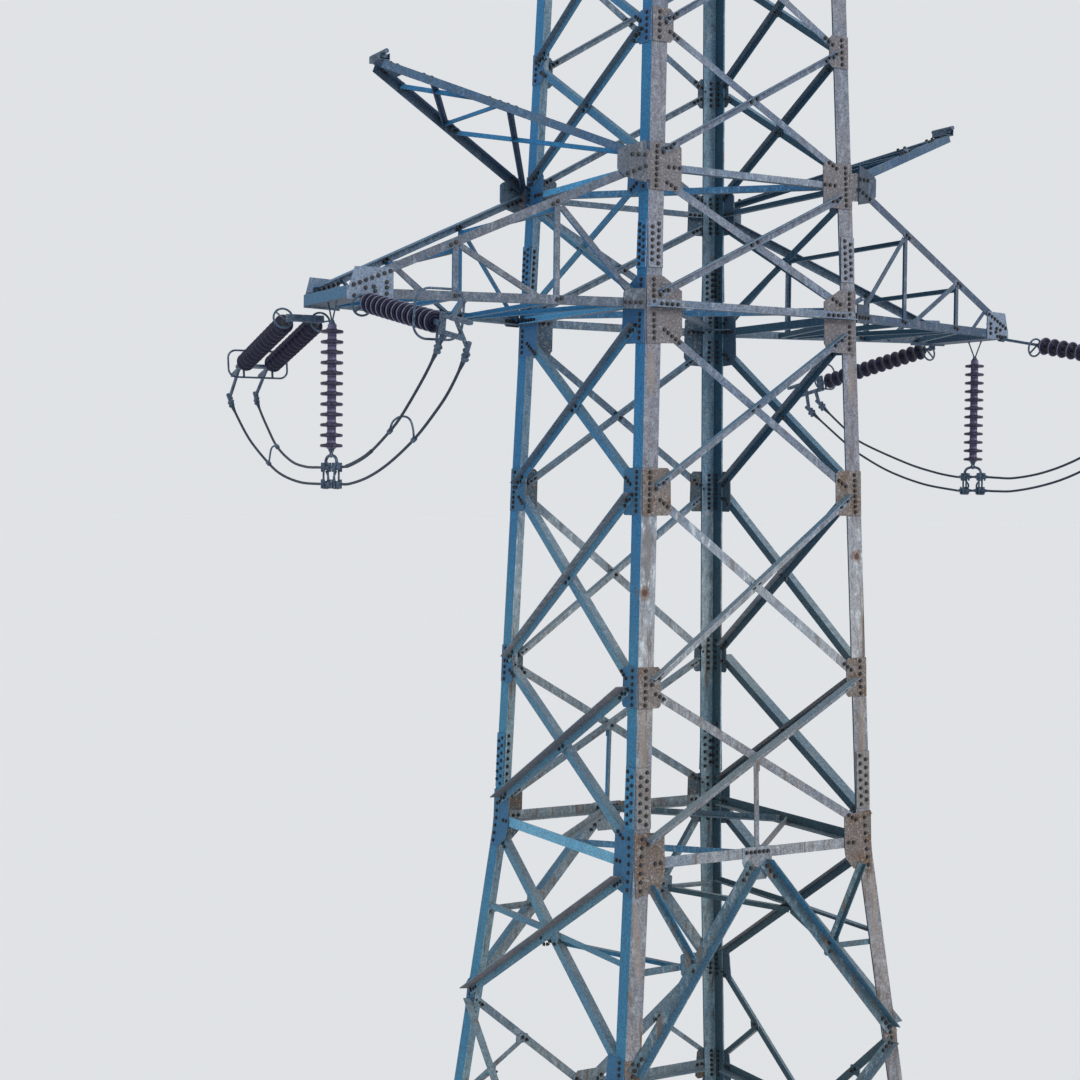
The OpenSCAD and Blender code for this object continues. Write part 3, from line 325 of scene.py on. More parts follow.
def galvanised(name, tones, rust, speckle, lichen, marks):
    """Weathered zinc over painted light and shade: pale on the near side, blue on the left, painted shade on
    the insides.

    It is warmer and more streaked lower down. The marks "roots" darken the arms at the body, and the
    marks "legs" are tan stains that run down under the lower gussets.
    """
    material, where = start_material(name)
    # painted light and shade by which way each face looks, under the rust, speckle and lichen
    tone, near = painted_light_by_facing(where, dict(ZINC_TONES, **tones))
    place = axes(where)
    height = place["Z"]
    low = span(height, 16.8, 13.6)
    tone = tint(1.0, tone, mix(near, mix(low, WHITE, (1.7, 1.13, 0.9)), mix(low, WHITE, (1.28, 1.14, 0.98))))
    if marks == "roots":
        tone = tint(span(calc("ABSOLUTE", place["X"]), 1.76, 1.7), tone, (0.8, 0.79, 0.76))
    tone = tint(span(noise(where, 0.9, 2.0), 0.42, 0.62), tone, (0.76, 0.86, 0.95))
    grains = noise(where, 46.0, 3.0, 0.75)
    tone = tint(1.0, tone, mix(span(grains, 0.38, 0.62), (1 - speckle,) * 3, (1 + speckle,) * 3))
    flakes = noise(where, 15.0, 6.0, 0.75, (1.0, 1.0, 0.45))
    band = times(span(height, 13.2, 14.2), span(height, 16.2, 15.4))
    flaked = plus(span(flakes, 0.52, 0.64), times(band, 0.35))
    flaky = times(near, plus(times(band, 0.45), lichen))
    tone = mix(times(flaked, flaky), tone, (0.52, 0.57, 0.61))
    peeled = times(span(flakes, 0.46, 0.38), plus(times(near, 0.35), 0.2))
    tone = mix(peeled, tone, (0.1, 0.105, 0.115))
    runs = span(noise(where, 1.0, 4.0, 0.6, (14.0, 14.0, 0.9)), 0.53, 0.72)
    spots = span(noise(where, 6.5, 5.0, 0.65), 0.6, 0.72)
    streaks = calc("MAXIMUM", times(runs, plus(0.5, low)), spots)
    stain = times(streaks, times(rust, plus(0.35, near)))
    tone = mix(stain, tone, (0.15, 0.105, 0.08))

    def stained(centre, size, wobble, strength, colour):
        return mix(times(blotch(where, centre, size, wobble), strength), tone, colour)

    if marks == "legs":
        for level, tall in ((13.25, 0.42), (11.15, 0.5), (17.3, 0.3)):
            side = half_width(level) - 0.085
            for across in (-side, side):
                tone = stained((across, -side - 0.1, level), (0.05, 0.2, tall), flakes, 0.45,
                               (0.3, 0.235, 0.19))
    near_leg = -half_width(15.4) + 0.1
    tone = stained((near_leg - 0.015, near_leg - 0.1, 15.42), (0.06, 0.2, 0.5), flakes, 0.6,
                   (0.15, 0.13, 0.115))
    for centre in ((near_leg - 0.055, near_leg - 0.12, 14.9), (-near_leg + 0.02, near_leg - 0.1, 15.27)):
        tone = stained(centre, (0.075, 0.2, 0.095), flakes, 0.6, (0.17, 0.1, 0.065))
        tone = stained(centre, (0.038, 0.16, 0.045), grains, 0.85, (0.085, 0.04, 0.024))
    rough = plus(plus(times(grains, 0.25), 0.5), times(stain, 0.2))
    relief = (plus(grains, times(flakes, 0.8)), 0.45, 0.0025)
    return complete(material, tone, rough, relief, Metallic=0.1, Specular_IOR_Level=0.18)


def plate_steel(name, tones, brown):
    """Gusset and splice plates, speckled grey with more or less rust-brown on them, over painted light and
    shade by facing.
    """
    material, where = start_material(name)
    # painted light and shade by which way each face looks
    tone, near = painted_light_by_facing(where, tones)
    height = axes(where)["Z"]
    aloft = span(height, 16.6, 17.6)
    tone = tint(aloft, tone, (0.9, 1.0, 1.18))
    tone = tint(span(height, 13.3, 12.7), tone, mix(near, WHITE, (0.83, 0.8, 0.78)))
    blotches = times(span(noise(where, 6.0, 4.0, 0.6), 0.46, 0.66), brown)
    lower = times(calc("SUBTRACT", 1.0, times(aloft, 0.75)), near)
    tone = mix(times(blotches, lower), tone, (0.125, 0.075, 0.045))
    grains = noise(where, 42.0, 3.0, 0.8)
    pale = times(span(grains, 0.55, 0.64), plus(times(near, 0.4), 0.12))
    tone = mix(pale, tone, (0.5, 0.49, 0.48))
    tone = mix(times(span(grains, 0.46, 0.37), 0.6), tone, (0.045, 0.048, 0.055))
    rough = plus(times(grains, 0.3), 0.5)
    return complete(material, tone, rough, (grains, 0.4, 0.002), Metallic=0.1, Specular_IOR_Level=0.25)


def dark_steel(name):
    material, where = start_material(name)
    grains = noise(where, 45.0, 3.0)
    tone = mix(grains, (0.014, 0.017, 0.024), (0.06, 0.058, 0.06))
    return complete(material, tone, plus(times(grains, 0.3), 0.35), (grains, 0.3, 0.001), Metallic=0.35)


def forged_steel():
    material, where = start_material("dull_forged_fittings")
    grains = noise(where, 60.0, 3.0, 0.6)
    patches = noise(where, 14.0, 4.0)
    tone = mix(span(patches, 0.4, 0.65), (0.068, 0.11, 0.17), (0.031, 0.055, 0.095))
    tone = mix(span(grains, 0.58, 0.7), tone, (0.25, 0.31, 0.36))
    rough = plus(times(patches, 0.3), 0.32)
    return complete(material, tone, rough, (grains, 0.3, 0.0012), Metallic=0.15, Specular_IOR_Level=0.3)


def glaze(name, deep, thin, rim):
    """Glazed porcelain: dark, dusty on top, and in the rim colour at the rims: a painted highlight on the
    dark discs, a darker tone on the brown string's sheds.
    """
    material, where = start_material(name)
    clouds = noise(where, 9.0, 4.0)
    dust = noise(where, 50.0, 3.0, 0.7)
    film = times(span(axes(normal_of(where))["Z"], 0.3, 0.95), span(dust, 0.4, 0.75))
    tone = mix(times(film, 0.1), mix(clouds, deep, thin), (0.2, 0.2, 0.27))
    edge = add(material.node_tree, "ShaderNodeAttribute", attribute_name="edge").outputs["Fac"]
    # rims: a painted highlight where the rim colour is pale, as on the dark discs
    tone = mix(times(edge, span(dust, 0.25, 0.6, 0.35, 1.0)), tone, rim)
    return complete(material, tone, plus(times(dust, 0.25), 0.2), (clouds, 0.15, 0.002),
                    Specular_IOR_Level=0.16, Coat_Weight=0.1, Coat_Roughness=0.15)


def conductor_metal():
    material, where = start_material("dark_stranded_conductor")
    grime = noise(where, 30.0, 4.0)
    tone = mix(grime, (0.01, 0.019, 0.035), (0.038, 0.062, 0.1))
    rough = plus(times(grime, 0.3), 0.35)
    return complete(material, tone, rough, (grime, 0.2, 0.001), Metallic=0.2, Specular_IOR_Level=0.3)


def stage_paint():
    material, where = start_material("pale_studio_floor")
    tone = mix(noise(where, 0.15, 2.0), (0.848, 0.833, 0.825), (0.86, 0.844, 0.837))
    return complete(material, tone, 0.9, Specular_IOR_Level=0.1)


def make_light():
    """A soft key on the near side, a weak fill from the left, and a pale surround."""
    world = bpy.data.worlds.new("pale_surround")
    world.use_nodes = True
    tree = world.node_tree
    tree.nodes.clear()
    path = tree.nodes.new("ShaderNodeLightPath").outputs
    seen = calc("MAXIMUM", path["Is Camera Ray"], path["Is Glossy Ray"])
    seen = calc("MAXIMUM", seen, path["Is Transmission Ray"])
    soft = add(tree, "ShaderNodeBackground", {"Color": (0.88, 0.94, 1.0), "Strength": 0.72})
    plain = add(tree, "ShaderNodeBackground", {"Color": (0.745, 0.765, 0.79), "Strength": 1.0})
    chosen = add(tree, "ShaderNodeMixShader", {0: seen, 1: soft.outputs[0], 2: plain.outputs[0]})
    add(tree, "ShaderNodeOutputWorld", {"Surface": chosen.outputs[0]})
    scene.world = world
    for name, towards, strength, angle, colour in (
            ("key_light", (-0.3, 0.82, -0.5), 1.25, 24, (1.0, 0.965, 0.92)),
            ("fill_light", (0.85, 0.3, -0.45), 0.35, 40, (0.86, 0.94, 1.0))):
        data = bpy.data.lights.new(name, "SUN")
        data.energy = strength
        data.angle = math.radians(angle)
        data.color = colour
        lamp = put_in_scene(name, data)
        lamp.rotation_mode = "QUATERNION"
        lamp.rotation_quaternion = Vector(towards).to_track_quat("-Z", "Y")


def make_stage():
    """A wide level floor."""
    mesh = bpy.data.meshes.new("studio_floor")
    shape = bmesh.new()
    bmesh.ops.create_circle(shape, cap_ends=True, segments=96, radius=900.0)
    shape.to_mesh(mesh)
    shape.free()
    mesh.materials.append(stage_paint())
    put_in_scene("studio_floor", mesh)


# Pieces
def new_piece(name, mesh, replaced=()):
    piece = put_in_scene(name, mesh)
    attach(piece, "root")
    if replaced:
        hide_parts(*replaced)
    return piece


def mesh_of(name, verts, faces, material, smooth=True):
    mesh = bpy.data.meshes.new(name)
    mesh.from_pydata([tuple(v) for v in verts], [], faces)
    shape = bmesh.new()
    shape.from_mesh(mesh)
    bmesh.ops.recalc_face_normals(shape, faces=shape.faces)
    shape.to_mesh(mesh)
    shape.free()
    for face in mesh.polygons:
        face.use_smooth = smooth
    mesh.materials.append(material)
    return mesh


# Jumper routes: the points of the part's source, in metres from the middle of their clamps
STRAIGHT = ((0, 0.23, 0), (0, 0, 0), (0, -0.23, 0))
ROUTES = {
    "left_upper": [
        (0.25, 3.0, 0.86), (0.225, 2.81, 0.72), (0.175, 2.41, 0.49), (0.12, 1.935, 0.25), (0.06, 1.32, 0.075),
        (0.02, 0.79, 0.01), (0, 0.35, 0), *STRAIGHT, (0, -0.5, 0.02), (-0.01, -1.0, 0.13),
        (-0.02, -1.5, 0.325), (-0.03, -1.86, 0.5), (-0.04, -2.35, 0.825), (-0.05, -2.64, 1.045),
        (-0.055, -2.74, 1.14)],
    "left_lower": [
        (-0.08, 3.0, 1.0), (-0.075, 2.82, 0.84), (-0.055, 2.37, 0.51), (-0.035, 1.75, 0.215),
        (-0.025, 1.35, 0.09), (-0.01, 0.85, 0.015), (0, 0.35, 0), *STRAIGHT, (0.005, -0.5, 0.005),
        (0.015, -0.95, 0.075), (0.025, -1.445, 0.215), (0.045, -1.99, 0.445), (0.06, -2.42, 0.69),
        (0.07, -2.71, 0.89), (0.08, -2.98, 1.15), (0.08, -3.05, 1.235)],
    "right_upper": [
        (-0.325, 2.83, 1.03), (-0.245, 2.37, 0.68), (-0.195, 2.06, 0.48), (-0.085, 1.23, 0.19),
        (-0.03, 0.7, 0.06), (0, 0.35, 0.005), *STRAIGHT, (0, -0.45, -0.01), (0, -0.75, -0.015),
        (0, -1.2, 0.04), (0, -1.65, 0.15), (0, -2.05, 0.3), (0, -2.45, 0.53), (0, -2.85, 0.82),
        (-0.005, -3.23, 1.12)],
    "right_lower": [
        (-0.365, 3.015, 1.125), (-0.245, 2.37, 0.665), (-0.195, 2.055, 0.48), (-0.125, 1.535, 0.255),
        (-0.055, 0.92, 0.085), (0, 0.35, 0.005), *STRAIGHT, (0, -0.45, -0.005), (0, -0.75, 0),
        (0, -1.2, 0.06), (0, -1.66, 0.165), (0, -2.1, 0.325), (0, -2.55, 0.56), (0, -3.0, 0.86),
        (0, -3.35, 1.13), (0, -3.54, 1.29)],
}


def curve_through(points, steps):
    """A smooth curve through points."""
    last = len(points) - 1
    route = []
    for i in range(last):
        a, b, c, d = (points[min(max(j, 0), last)] for j in (i - 1, i, i + 1, i + 2))
        for step in range(steps):
            t = step / steps
            route.append(0.5 * (2 * b + (c - a) * t + (2 * a - 5 * b + 4 * c - d) * t * t
                                + (3 * b - a - 3 * c + d) * t * t * t))
    route.append(points[last])
    return route


def jumper_route(name):
    """The smooth route of one jumper."""
    side = -1 if name.startswith("left") else 1
    base = Vector((side * HANG_X[side], 0, CLAMP_Z[0 if name.endswith("upper") else 1]))
    return curve_through([base + Vector(p) for p in ROUTES[name]], 24)


def distances(points):
    """How far along a route each of its points lies."""
    run = [0.0]
    for a, b in zip(points, points[1:]):
        run.append(run[-1] + (b - a).length)
    return run


def evenly(points, pitch):
    """The same route with its points a pitch apart."""
    lengths = distances(points)
    count = max(2, round(lengths[-1] / pitch))
    spaced, j = [], 0
    for i in range(count + 1):
        want = lengths[-1] * i / count
        while j < len(points) - 2 and lengths[j + 1] < want:
            j += 1
        part = (want - lengths[j]) / (lengths[j + 1] - lengths[j])
        spaced.append(points[j].lerp(points[j + 1], min(part, 1.0)))
    return spaced


def swept(points, outline, turn_per_metre=0.0, scales=None):
    """Closed tube along points, with the outline's radii round it, scaled at each point where wanted."""
    sides = len(outline)
    verts, faces = [], []
    normal = Vector((1, 0, 0))
    for i, (p, run) in enumerate(zip(points, distances(points))):
        ahead = (points[min(i + 1, len(points) - 1)] - points[max(i - 1, 0)]).normalized()
        normal = (normal - ahead * normal.dot(ahead)).normalized()
        side = ahead.cross(normal)
        scale = scales[i] if scales else 1.0
        for j, radius in enumerate(outline):
            a = 2 * math.pi * j / sides + run * turn_per_metre
            verts.append(p + (normal * math.cos(a) + side * math.sin(a)) * radius * scale)
    for i in range(0, (len(points) - 1) * sides, sides):
        for j in range(sides):
            k = (j + 1) % sides
            faces.append((i + j, i + k, i + sides + k, i + sides + j))
    faces.append(tuple(reversed(range(sides))))
    faces.append(tuple(range((len(points) - 1) * sides, len(points) * sides)))
    return verts, faces


def make_jumpers(material):
    """Stranded conductors, eight outer strands with a slow lay."""
    strands, per_strand, lay = 8, 3, 0.34
    outline = [WIRE_D / 2 * (1.0 if j % per_strand else 0.9) for j in range(strands * per_strand)]
    for name in ROUTES:
        route = jumper_route(name)
        points, length = evenly(route, 0.022), distances(route)[-1]
        verts, faces = swept(points, outline, 2 * math.pi / lay)
        mesh = mesh_of("jumper_" + name + "_strands", verts, faces, material, smooth=False)
        piece = new_piece("jumper_" + name + "_strands", mesh, ["jumper_" + name])


make_camera()
conductor = conductor_metal()
make_jumpers(conductor)


# Geometry trees
def start_group(name, inputs):
    """A geometry tree with its named inputs, and their outputs inside it."""
    tree = bpy.data.node_groups.new(name, "GeometryNodeTree")
    sockets = [("Geometry", "Geometry", "INPUT")] + [(key, kind, "INPUT") for key, kind in inputs]
    for key, kind, way in sockets + [("Geometry", "Geometry", "OUTPUT")]:
        tree.interface.new_socket(key, in_out=way, socket_type="NodeSocket" + kind)
    return tree, tree.nodes.new("NodeGroupInput").outputs


def end_group(tree, geometry, finish):
    """Makes the instances real, in their finish, as the tree's result."""
    real = result(tree, "GeometryNodeRealizeInstances", {"Geometry": geometry})
    done = result(tree, "GeometryNodeSetMaterial", {"Geometry": real, "Material": finish})
    add(tree, "NodeGroupOutput", {0: done})
    return tree


def attribute(tree, name, kind):
    return result(tree, "GeometryNodeInputNamedAttribute", {"Name": name}, data_type=kind)


def instances(tree, points, shape, rotation=None):
    values = {"Points": points, "Instance": shape}
    if rotation:
        values["Rotation"] = rotation
    return result(tree, "GeometryNodeInstanceOnPoints", values)


def upright_along(tree, axis):
    """The turn that brings Z to an axis."""
    return result(tree, "FunctionNodeAlignRotationToVector", {"Vector": axis}, axis="Z")


def loose_points(name, points, directions):
    """A mesh of points that carry an axis each."""
    mesh = bpy.data.meshes.new(name + "_places")
    mesh.from_pydata([tuple(p) for p in points], [], [])
    axis = mesh.attributes.new("axis", "FLOAT_VECTOR", "POINT")
    axis.data.foreach_set("vector", [c for direction in directions for c in direction])
    return mesh


def run_tree(name, mesh, tree, values):
    """The mesh that a geometry tree makes from a mesh, as plain mesh data."""
    carrier = put_in_scene(name, mesh)
    modifier = carrier.modifiers.new("shape", "NODES")
    modifier.node_group = tree
    names = {s.name: s.identifier for s in tree.interface.items_tree if s.in_out == "INPUT"}
    for key, value in values.items():
        modifier[names[key]] = value
    carrier.update_tag()
    bpy.context.view_layer.update()
    seen = carrier.evaluated_get(bpy.context.evaluated_depsgraph_get())
    made = bpy.data.meshes.new_from_object(seen)
    carrier.modifiers.remove(modifier)
    bpy.data.objects.remove(carrier)
    made.name = name
    return made


# Bolts: each is a point under its head, the direction of its axis and its grip
class Bolts:
    def __init__(self):
        self.points, self.axes, self.grips = [], [], []

    def put(self, point, axis, grip):
        self.points.append(point)
        self.axes.append(axis)
        self.grips.append(grip)

    def at(self, k, u, z, proud, grip=CROSS_GRIP):
        self.put(*on_face(k, u, z, proud), grip)

    def line(self, k, start, end, count, proud, grip=BAR_GRIP):
        """Evenly from start to end, each given as across and up on face k."""
        for i in range(count):
            u, z = (a + (b - a) * i / (count - 1) for a, b in zip(start, end))
            self.at(k, u, z, proud, grip)

    def along(self, k, start, end, first, pitch, count, proud, grip=BAR_GRIP, stagger=0.0):
        """From a distance of first along the line from start towards end, left and right of it by stagger."""
        run = (Vector(end) - Vector(start)).normalized()
        aside = Vector((-run[1], run[0]))
        for i in range(count):
            u, z = Vector(start) + run * (first + i * pitch) + aside * (stagger if i % 2 else -stagger)
            self.at(k, u, z, proud, grip)


def bolt_tree():
    """Hexagon heads on washers, with a nut and a thread end behind the grip."""
    sizes = [(name, "Float") for name in BOLT_SIZES]
    tree, given = start_group("hexagon_bolts", sizes + [("Finish", "Material")])
    axis = attribute(tree, "axis", "FLOAT_VECTOR")
    grip = attribute(tree, "grip", "FLOAT")
    turn = add(tree, "FunctionNodeRandomValue", {"Max": math.pi, "Seed": 5}, data_type="FLOAT").outputs[1]

    def turned(rotation, by):
        spin = result(tree, "FunctionNodeAxisAngleToRotation", by)
        return result(tree, "FunctionNodeRotateRotation", {"Rotation": rotation, "Rotate By": spin},
                   rotation_space="LOCAL")

    def drum(sides, width, depth, lift):
        values = {"Vertices": sides, "Radius": times(width, 0.5), "Depth": depth}
        body = result(tree, "GeometryNodeMeshCylinder", values, fill_type="NGON")
        place = result(tree, "ShaderNodeCombineXYZ", {"Z": lift})
        return result(tree, "GeometryNodeTransform", {"Geometry": body, "Translation": place})

    def joined(*parts):
        join = add(tree, "GeometryNodeJoinGeometry")
        for part in parts:
            feed(join.inputs[0], part)
        return join.outputs[0]

    facing = turned(upright_along(tree, axis), {"Angle": turn})
    points = result(tree, "GeometryNodeMeshToPoints", {"Mesh": given["Geometry"], "Radius": 0.001})
    washer_t, crown_t = 0.004, 0.002
    washer = drum(10, given["Washer width"], washer_t, washer_t / 2)
    width, height = given["Head width"], given["Head height"]
    head = drum(6, width, height, plus(times(height, 0.5), washer_t))
    crown = drum(8, times(width, 0.74), crown_t, plus(height, washer_t + crown_t / 2))
    thread = drum(8, given["Thread width"], given["Thread length"], times(given["Thread length"], 0.5))
    fronts = instances(tree, points, joined(washer, head, crown), facing)
    shift = add(tree, "ShaderNodeVectorMath", {0: axis, "Scale": times(grip, -1.0)}, operation="SCALE")
    behind = result(tree, "GeometryNodeSetPosition", {"Geometry": points, "Offset": shift.outputs[0]})
    away = turned(facing, {"Axis": (1, 0, 0), "Angle": math.pi})
    backs = instances(tree, behind, joined(washer, head, thread), away)
    return end_group(tree, joined(fronts, backs), given["Finish"])


def make_bolts(name, bolts, tree, material):
    mesh = loose_points(name, bolts.points, bolts.axes)
    grip = mesh.attributes.new("grip", "FLOAT", "POINT")
    grip.data.foreach_set("value", bolts.grips)
    new_piece(name, run_tree(name, mesh, tree, dict(BOLT_SIZES, Finish=material)))


# Crossed panels: the levels between them, and how far in their lower and upper joints are shifted
LEVELS = (WAIST_Z, BODY_4_Z, BODY_3_Z, ARM_LOW_Z, ARM_TOP_Z, BODY_0_Z, CROWN_Z)
SHIFTS = ((0.19, 0.0), (0.0, 0.0), (0.0, 0.2), (0.07, 0.11), (0.13, 0.0), (0.0, 0.06))


def panel_bolts(bolts):
    """The crossed bars: their ends, staggered on the outer bar, and where they cross."""
    for low, high, (rise, drop) in zip(LEVELS, LEVELS[1:], SHIFTS):
        bottom, top = low + rise, high - drop
        for k in range(4):
            m = -1 if low == ARM_LOW_Z and k % 2 else 1
            a, b = (-m * work_half(low), bottom), (m * work_half(high), top)
            c, d = (m * work_half(low), bottom), (-m * work_half(high), top)
            run = (Vector(b) - Vector(a)).normalized()
            lean = abs(run[0])
            outer_count = min(max(2, int((0.215 / lean - 0.07) / 0.058) + 1), 4)
            for start, end in ((a, b), (b, a)):
                bolts.along(k, start, end, 0.075, 0.058, outer_count, BAR_PROUD, BAR_GRIP, 0.011)
            for start, end, count in ((c, d, 3), (d, c, 5 if high == ARM_LOW_Z else 3)):
                bolts.along(k, start, end, 0.12 / lean, 0.06, count, PLATE_T)
            share = work_half(low) / (work_half(low) + work_half(high))
            crossing = Vector((0.0, bottom + (top - bottom) * share))
            for step in (-0.045, 0.045):
                bolts.at(k, *(crossing + run * step), BAR_PROUD)


def leg_bolts(bolts):
    """Columns of bolts through the gussets, splices and leg flanges, and the ends of the chords."""
    gussets = ((CAP_RING_Z, 4, 0.075), (BODY_0_Z, 5, 0.07), (ARM_TOP_Z, 8, 0.062), (BODY_3_Z, 8, 0.061),
               (BODY_4_Z, 6, 0.075), (WAIST_Z, 7, 0.092), (KNEE_Z, 6, 0.065), (RING_Z, 6, 0.068))
    chords = ((ARM_LOW_Z, 0.19, 4, BAR_PROUD), (ARM_TOP_Z, 0.25, 3, PLATE_T),
              (WAIST_Z, 0.265, 2, PLATE_T), (RING_Z, 0.245, 2, PLATE_T))
    splices = ((WAIST_Z + 0.715, 0.094), (ARM_LOW_Z + 0.65, 0.072))

    def column(k, m, level, count, pitch, inset, proud, grip):
        reach = pitch * (count - 1) / 2
        foot, head = ((m * (half_width(z) - inset), z) for z in (level - reach, level + reach))
        bolts.line(k, foot, head, count, proud, grip)

    for k, m in FACE_EDGES:
        for level, count, pitch in gussets:
            column(k, m, level, count, pitch, 0.092, PLATE_T, LEG_GRIP)
        u = m * (half_width(ARM_LOW_Z) - 0.095)
        for head, foot in ((0.26, 0.02), (-0.12, -0.38)):
            bolts.line(k, (u, ARM_LOW_Z + head), (u, ARM_LOW_Z + foot), 5, PLATE_T, LEG_GRIP)
        for level, first, count, proud in chords:
            u = half_width(level) - first
            bolts.line(k, (m * u, level), (m * (u - 0.07 * (count - 1)), level), count, proud)
        for level, pitch in splices:
            for inset, count in ((0.135, 7), (0.055, 6)):
                column(k, m, level, count, pitch, inset, SPLICE_T, SPLICE_T + LEG_T)


def lower_bolts(bolts):
    """Bars of the V and K frames below the waist."""
    for k, m in FACE_EDGES:
        knee = (m * work_half(KNEE_Z), KNEE_Z + 0.07)
        top = (m * work_half(KNEE_Z), KNEE_Z - 0.06)
        low = (m * 0.06, RING_Z - 0.01)
        bolts.along(k, top, low, 0.03, 0.062, 3, BAR_PROUD)
        bolts.along(k, low, top, 0.09, 0.07, 2, BAR_PROUD)
        middle = Vector(top).lerp(Vector(low), 0.45)
        for across, up in ((m * 0.04, 0.02), (-m * 0.02, -0.02)):
            bolts.at(k, middle[0] + across, middle[1] + up, BAR_PROUD)
        if k % 2 == 0:
            top = (m * 0.078, WAIST_Z - 0.12)
            bolts.along(k, top, knee, 0.05, 0.08, 3, HEAVY_PROUD)
            bolts.along(k, knee, top, 0.03, 0.07, 3, HEAVY_PROUD)
            middle = Vector(top).lerp(Vector(knee), 0.5)
            for up in (-0.05, 0.05):
                bolts.at(k, middle[0] + m * 0.02, middle[1] + up, HEAVY_PROUD)
            bolts.line(k, (m * 0.029, WAIST_Z + 0.01), (m * 0.145, WAIST_Z + 0.01), 3, PLATE_T)
        else:
            a = (-m * work_half(KNEE_Z), KNEE_Z + 0.07)
            b = (m * work_half(WAIST_Z), WAIST_Z - 0.15)
            if m > 0:
                bolts.along(k, a, b, 0.03, 0.065, 3, BAR_PROUD)
                bolts.along(k, b, a, 0.11, 0.065, 3, BAR_PROUD)
            else:
                bolts.along(k, b, a, 0.24, 0.06, 2, PLATE_T)
        bolts.line(k, (m * 0.06, RING_Z), (m * 0.19, RING_Z), 3, PLATE_T)
        if k % 2 and m > 0:
            for u, v in ((-0.06, -0.03), (0.06, 0.03), (-0.15, 0.02), (0.15, 0.02)):
                proud = BAR_PROUD if abs(u) < 0.1 else PLATE_T
                bolts.at(k, u, KNEE_Z + 1.055 + v, proud)


def base_bolts(bolts):
    """Bars of the inverted V above the feet, and the ring at the crown."""
    highest, lowest = RING_Z - 0.12, 0.47
    for k, m in FACE_EDGES:
        top = Vector((m * 0.078, highest))
        low = Vector((m * work_half(lowest), lowest))
        bolts.along(k, top, low, 0.04, 0.075, 3, HEAVY_PROUD)
        bolts.along(k, low, top, -0.02, 0.08, 4, HEAVY_PROUD, 0.04)
        for share in (1 / 3, 2 / 3):
            middle = top.lerp(low, share)
            bolts.along(k, middle, low, -0.06, 0.06, 3, HEAVY_PROUD, CROSS_GRIP)
            bolts.at(k, m * (work_half(middle[1]) + 0.03), middle[1], BAR_PROUD, LEG_GRIP)
        u = m * (half_width(CAP_RING_Z) - 0.16)
        bolts.line(k, (u, CAP_RING_Z), (u - m * 0.1, CAP_RING_Z), 2, BAR_PROUD)


def arm_root(level):
    """Where the crossarm's chords begin, from the tower's axis."""
    return half_width(level) + PLATE_T + 0.004


def arm_place(x, v, proud, side_x, side_y):
    """A point on a crossarm side truss, x from the axis and v above the lower chord."""
    length, narrowing = TIP_X - arm_root(ARM_LOW_Z), half_width(ARM_LOW_Z) - TIP_Y
    y = -half_width(ARM_LOW_Z) + narrowing * (x - arm_root(ARM_LOW_Z)) / length
    out = Vector((narrowing, -length, 0)).normalized()
    mirror = Vector((side_x, -side_y, 1))
    point = (Vector((x, y, ARM_LOW_Z + v)) + out * proud) * mirror
    return point, (out * mirror).normalized()


def arm_top(x):
    """The height of the upper chord above the lower one."""
    depth, root = ARM_TOP_Z - ARM_LOW_Z, arm_root(ARM_TOP_Z)
    return depth + (TIP_H - depth) * (x - root) / (TIP_X - root)


def arm_bolts(bolts):
    """Lacing joints, chord roots and tip plates of the crossarm."""
    upper = half_width(ARM_TOP_Z)
    places = []
    for x in LACE_X:
        places += [(x, 0.0), (x - 0.05, 0.015), (x, arm_top(x)), (x + 0.05, arm_top(x) - 0.03)]
    lacings = len(places)
    for i in range(4):
        x = upper + 0.07 + i * 0.065
        places += [(half_width(ARM_LOW_Z) + 0.06 + i * 0.055, 0.0), (x, arm_top(x))]
    places += [(upper + 0.08 + i * 0.07, arm_top(upper) + 0.09) for i in range(3)]
    # tip plate: along the upper chord, along the lower one and between them
    places += [(TIP_X + 0.065 - i * 0.062, 0.08 + i * 0.0255) for i in range(7)]
    places += [(TIP_X + 0.06 - i * 0.06, -0.035) for i in range(4)]
    places += [(TIP_X - back, v) for back, v in ((0.27, 0.115), (0.27, 0.06), (0.27, -0.005),
                                                 (0.054, 0.05), (0.138, 0.064), (0.152, 0.018))]
    for side_x, side_y in CORNERS:
        for i, (x, v) in enumerate(places):
            proud, grip = (0.0, BAR_T * 2) if i < lacings else (PLATE_T, BAR_GRIP)
            bolts.put(*arm_place(x, v, proud, side_x, side_y), grip)


def horn_bolts(bolts):
    """Bolts on the two chords of each horn."""
    for side, near in CORNERS:
        a = Vector((-half_width(ARM_TOP_Z) - PLATE_T - 0.002, near * (half_width(ARM_TOP_Z) - 0.03),
                    ARM_TOP_Z + 0.12))
        b = Vector((-HORN_X, near * HORN_GAP / 2, ARM_TOP_Z + HORN_RISE))
        other = Vector((a[0], -a[1], a[2]))
        out = (b - a).cross(other - a).normalized()
        out = out if out[2] > 0 else -out
        mirror = Vector((-side, 1, 1))
        for share in (0.04, 0.07, 0.1, 0.5, 0.53, 0.56, 0.6, 0.82, 0.85, 0.95, 0.975):
            bolts.put(a.lerp(b, share) * mirror, (out * mirror).normalized(), BAR_T * 2)


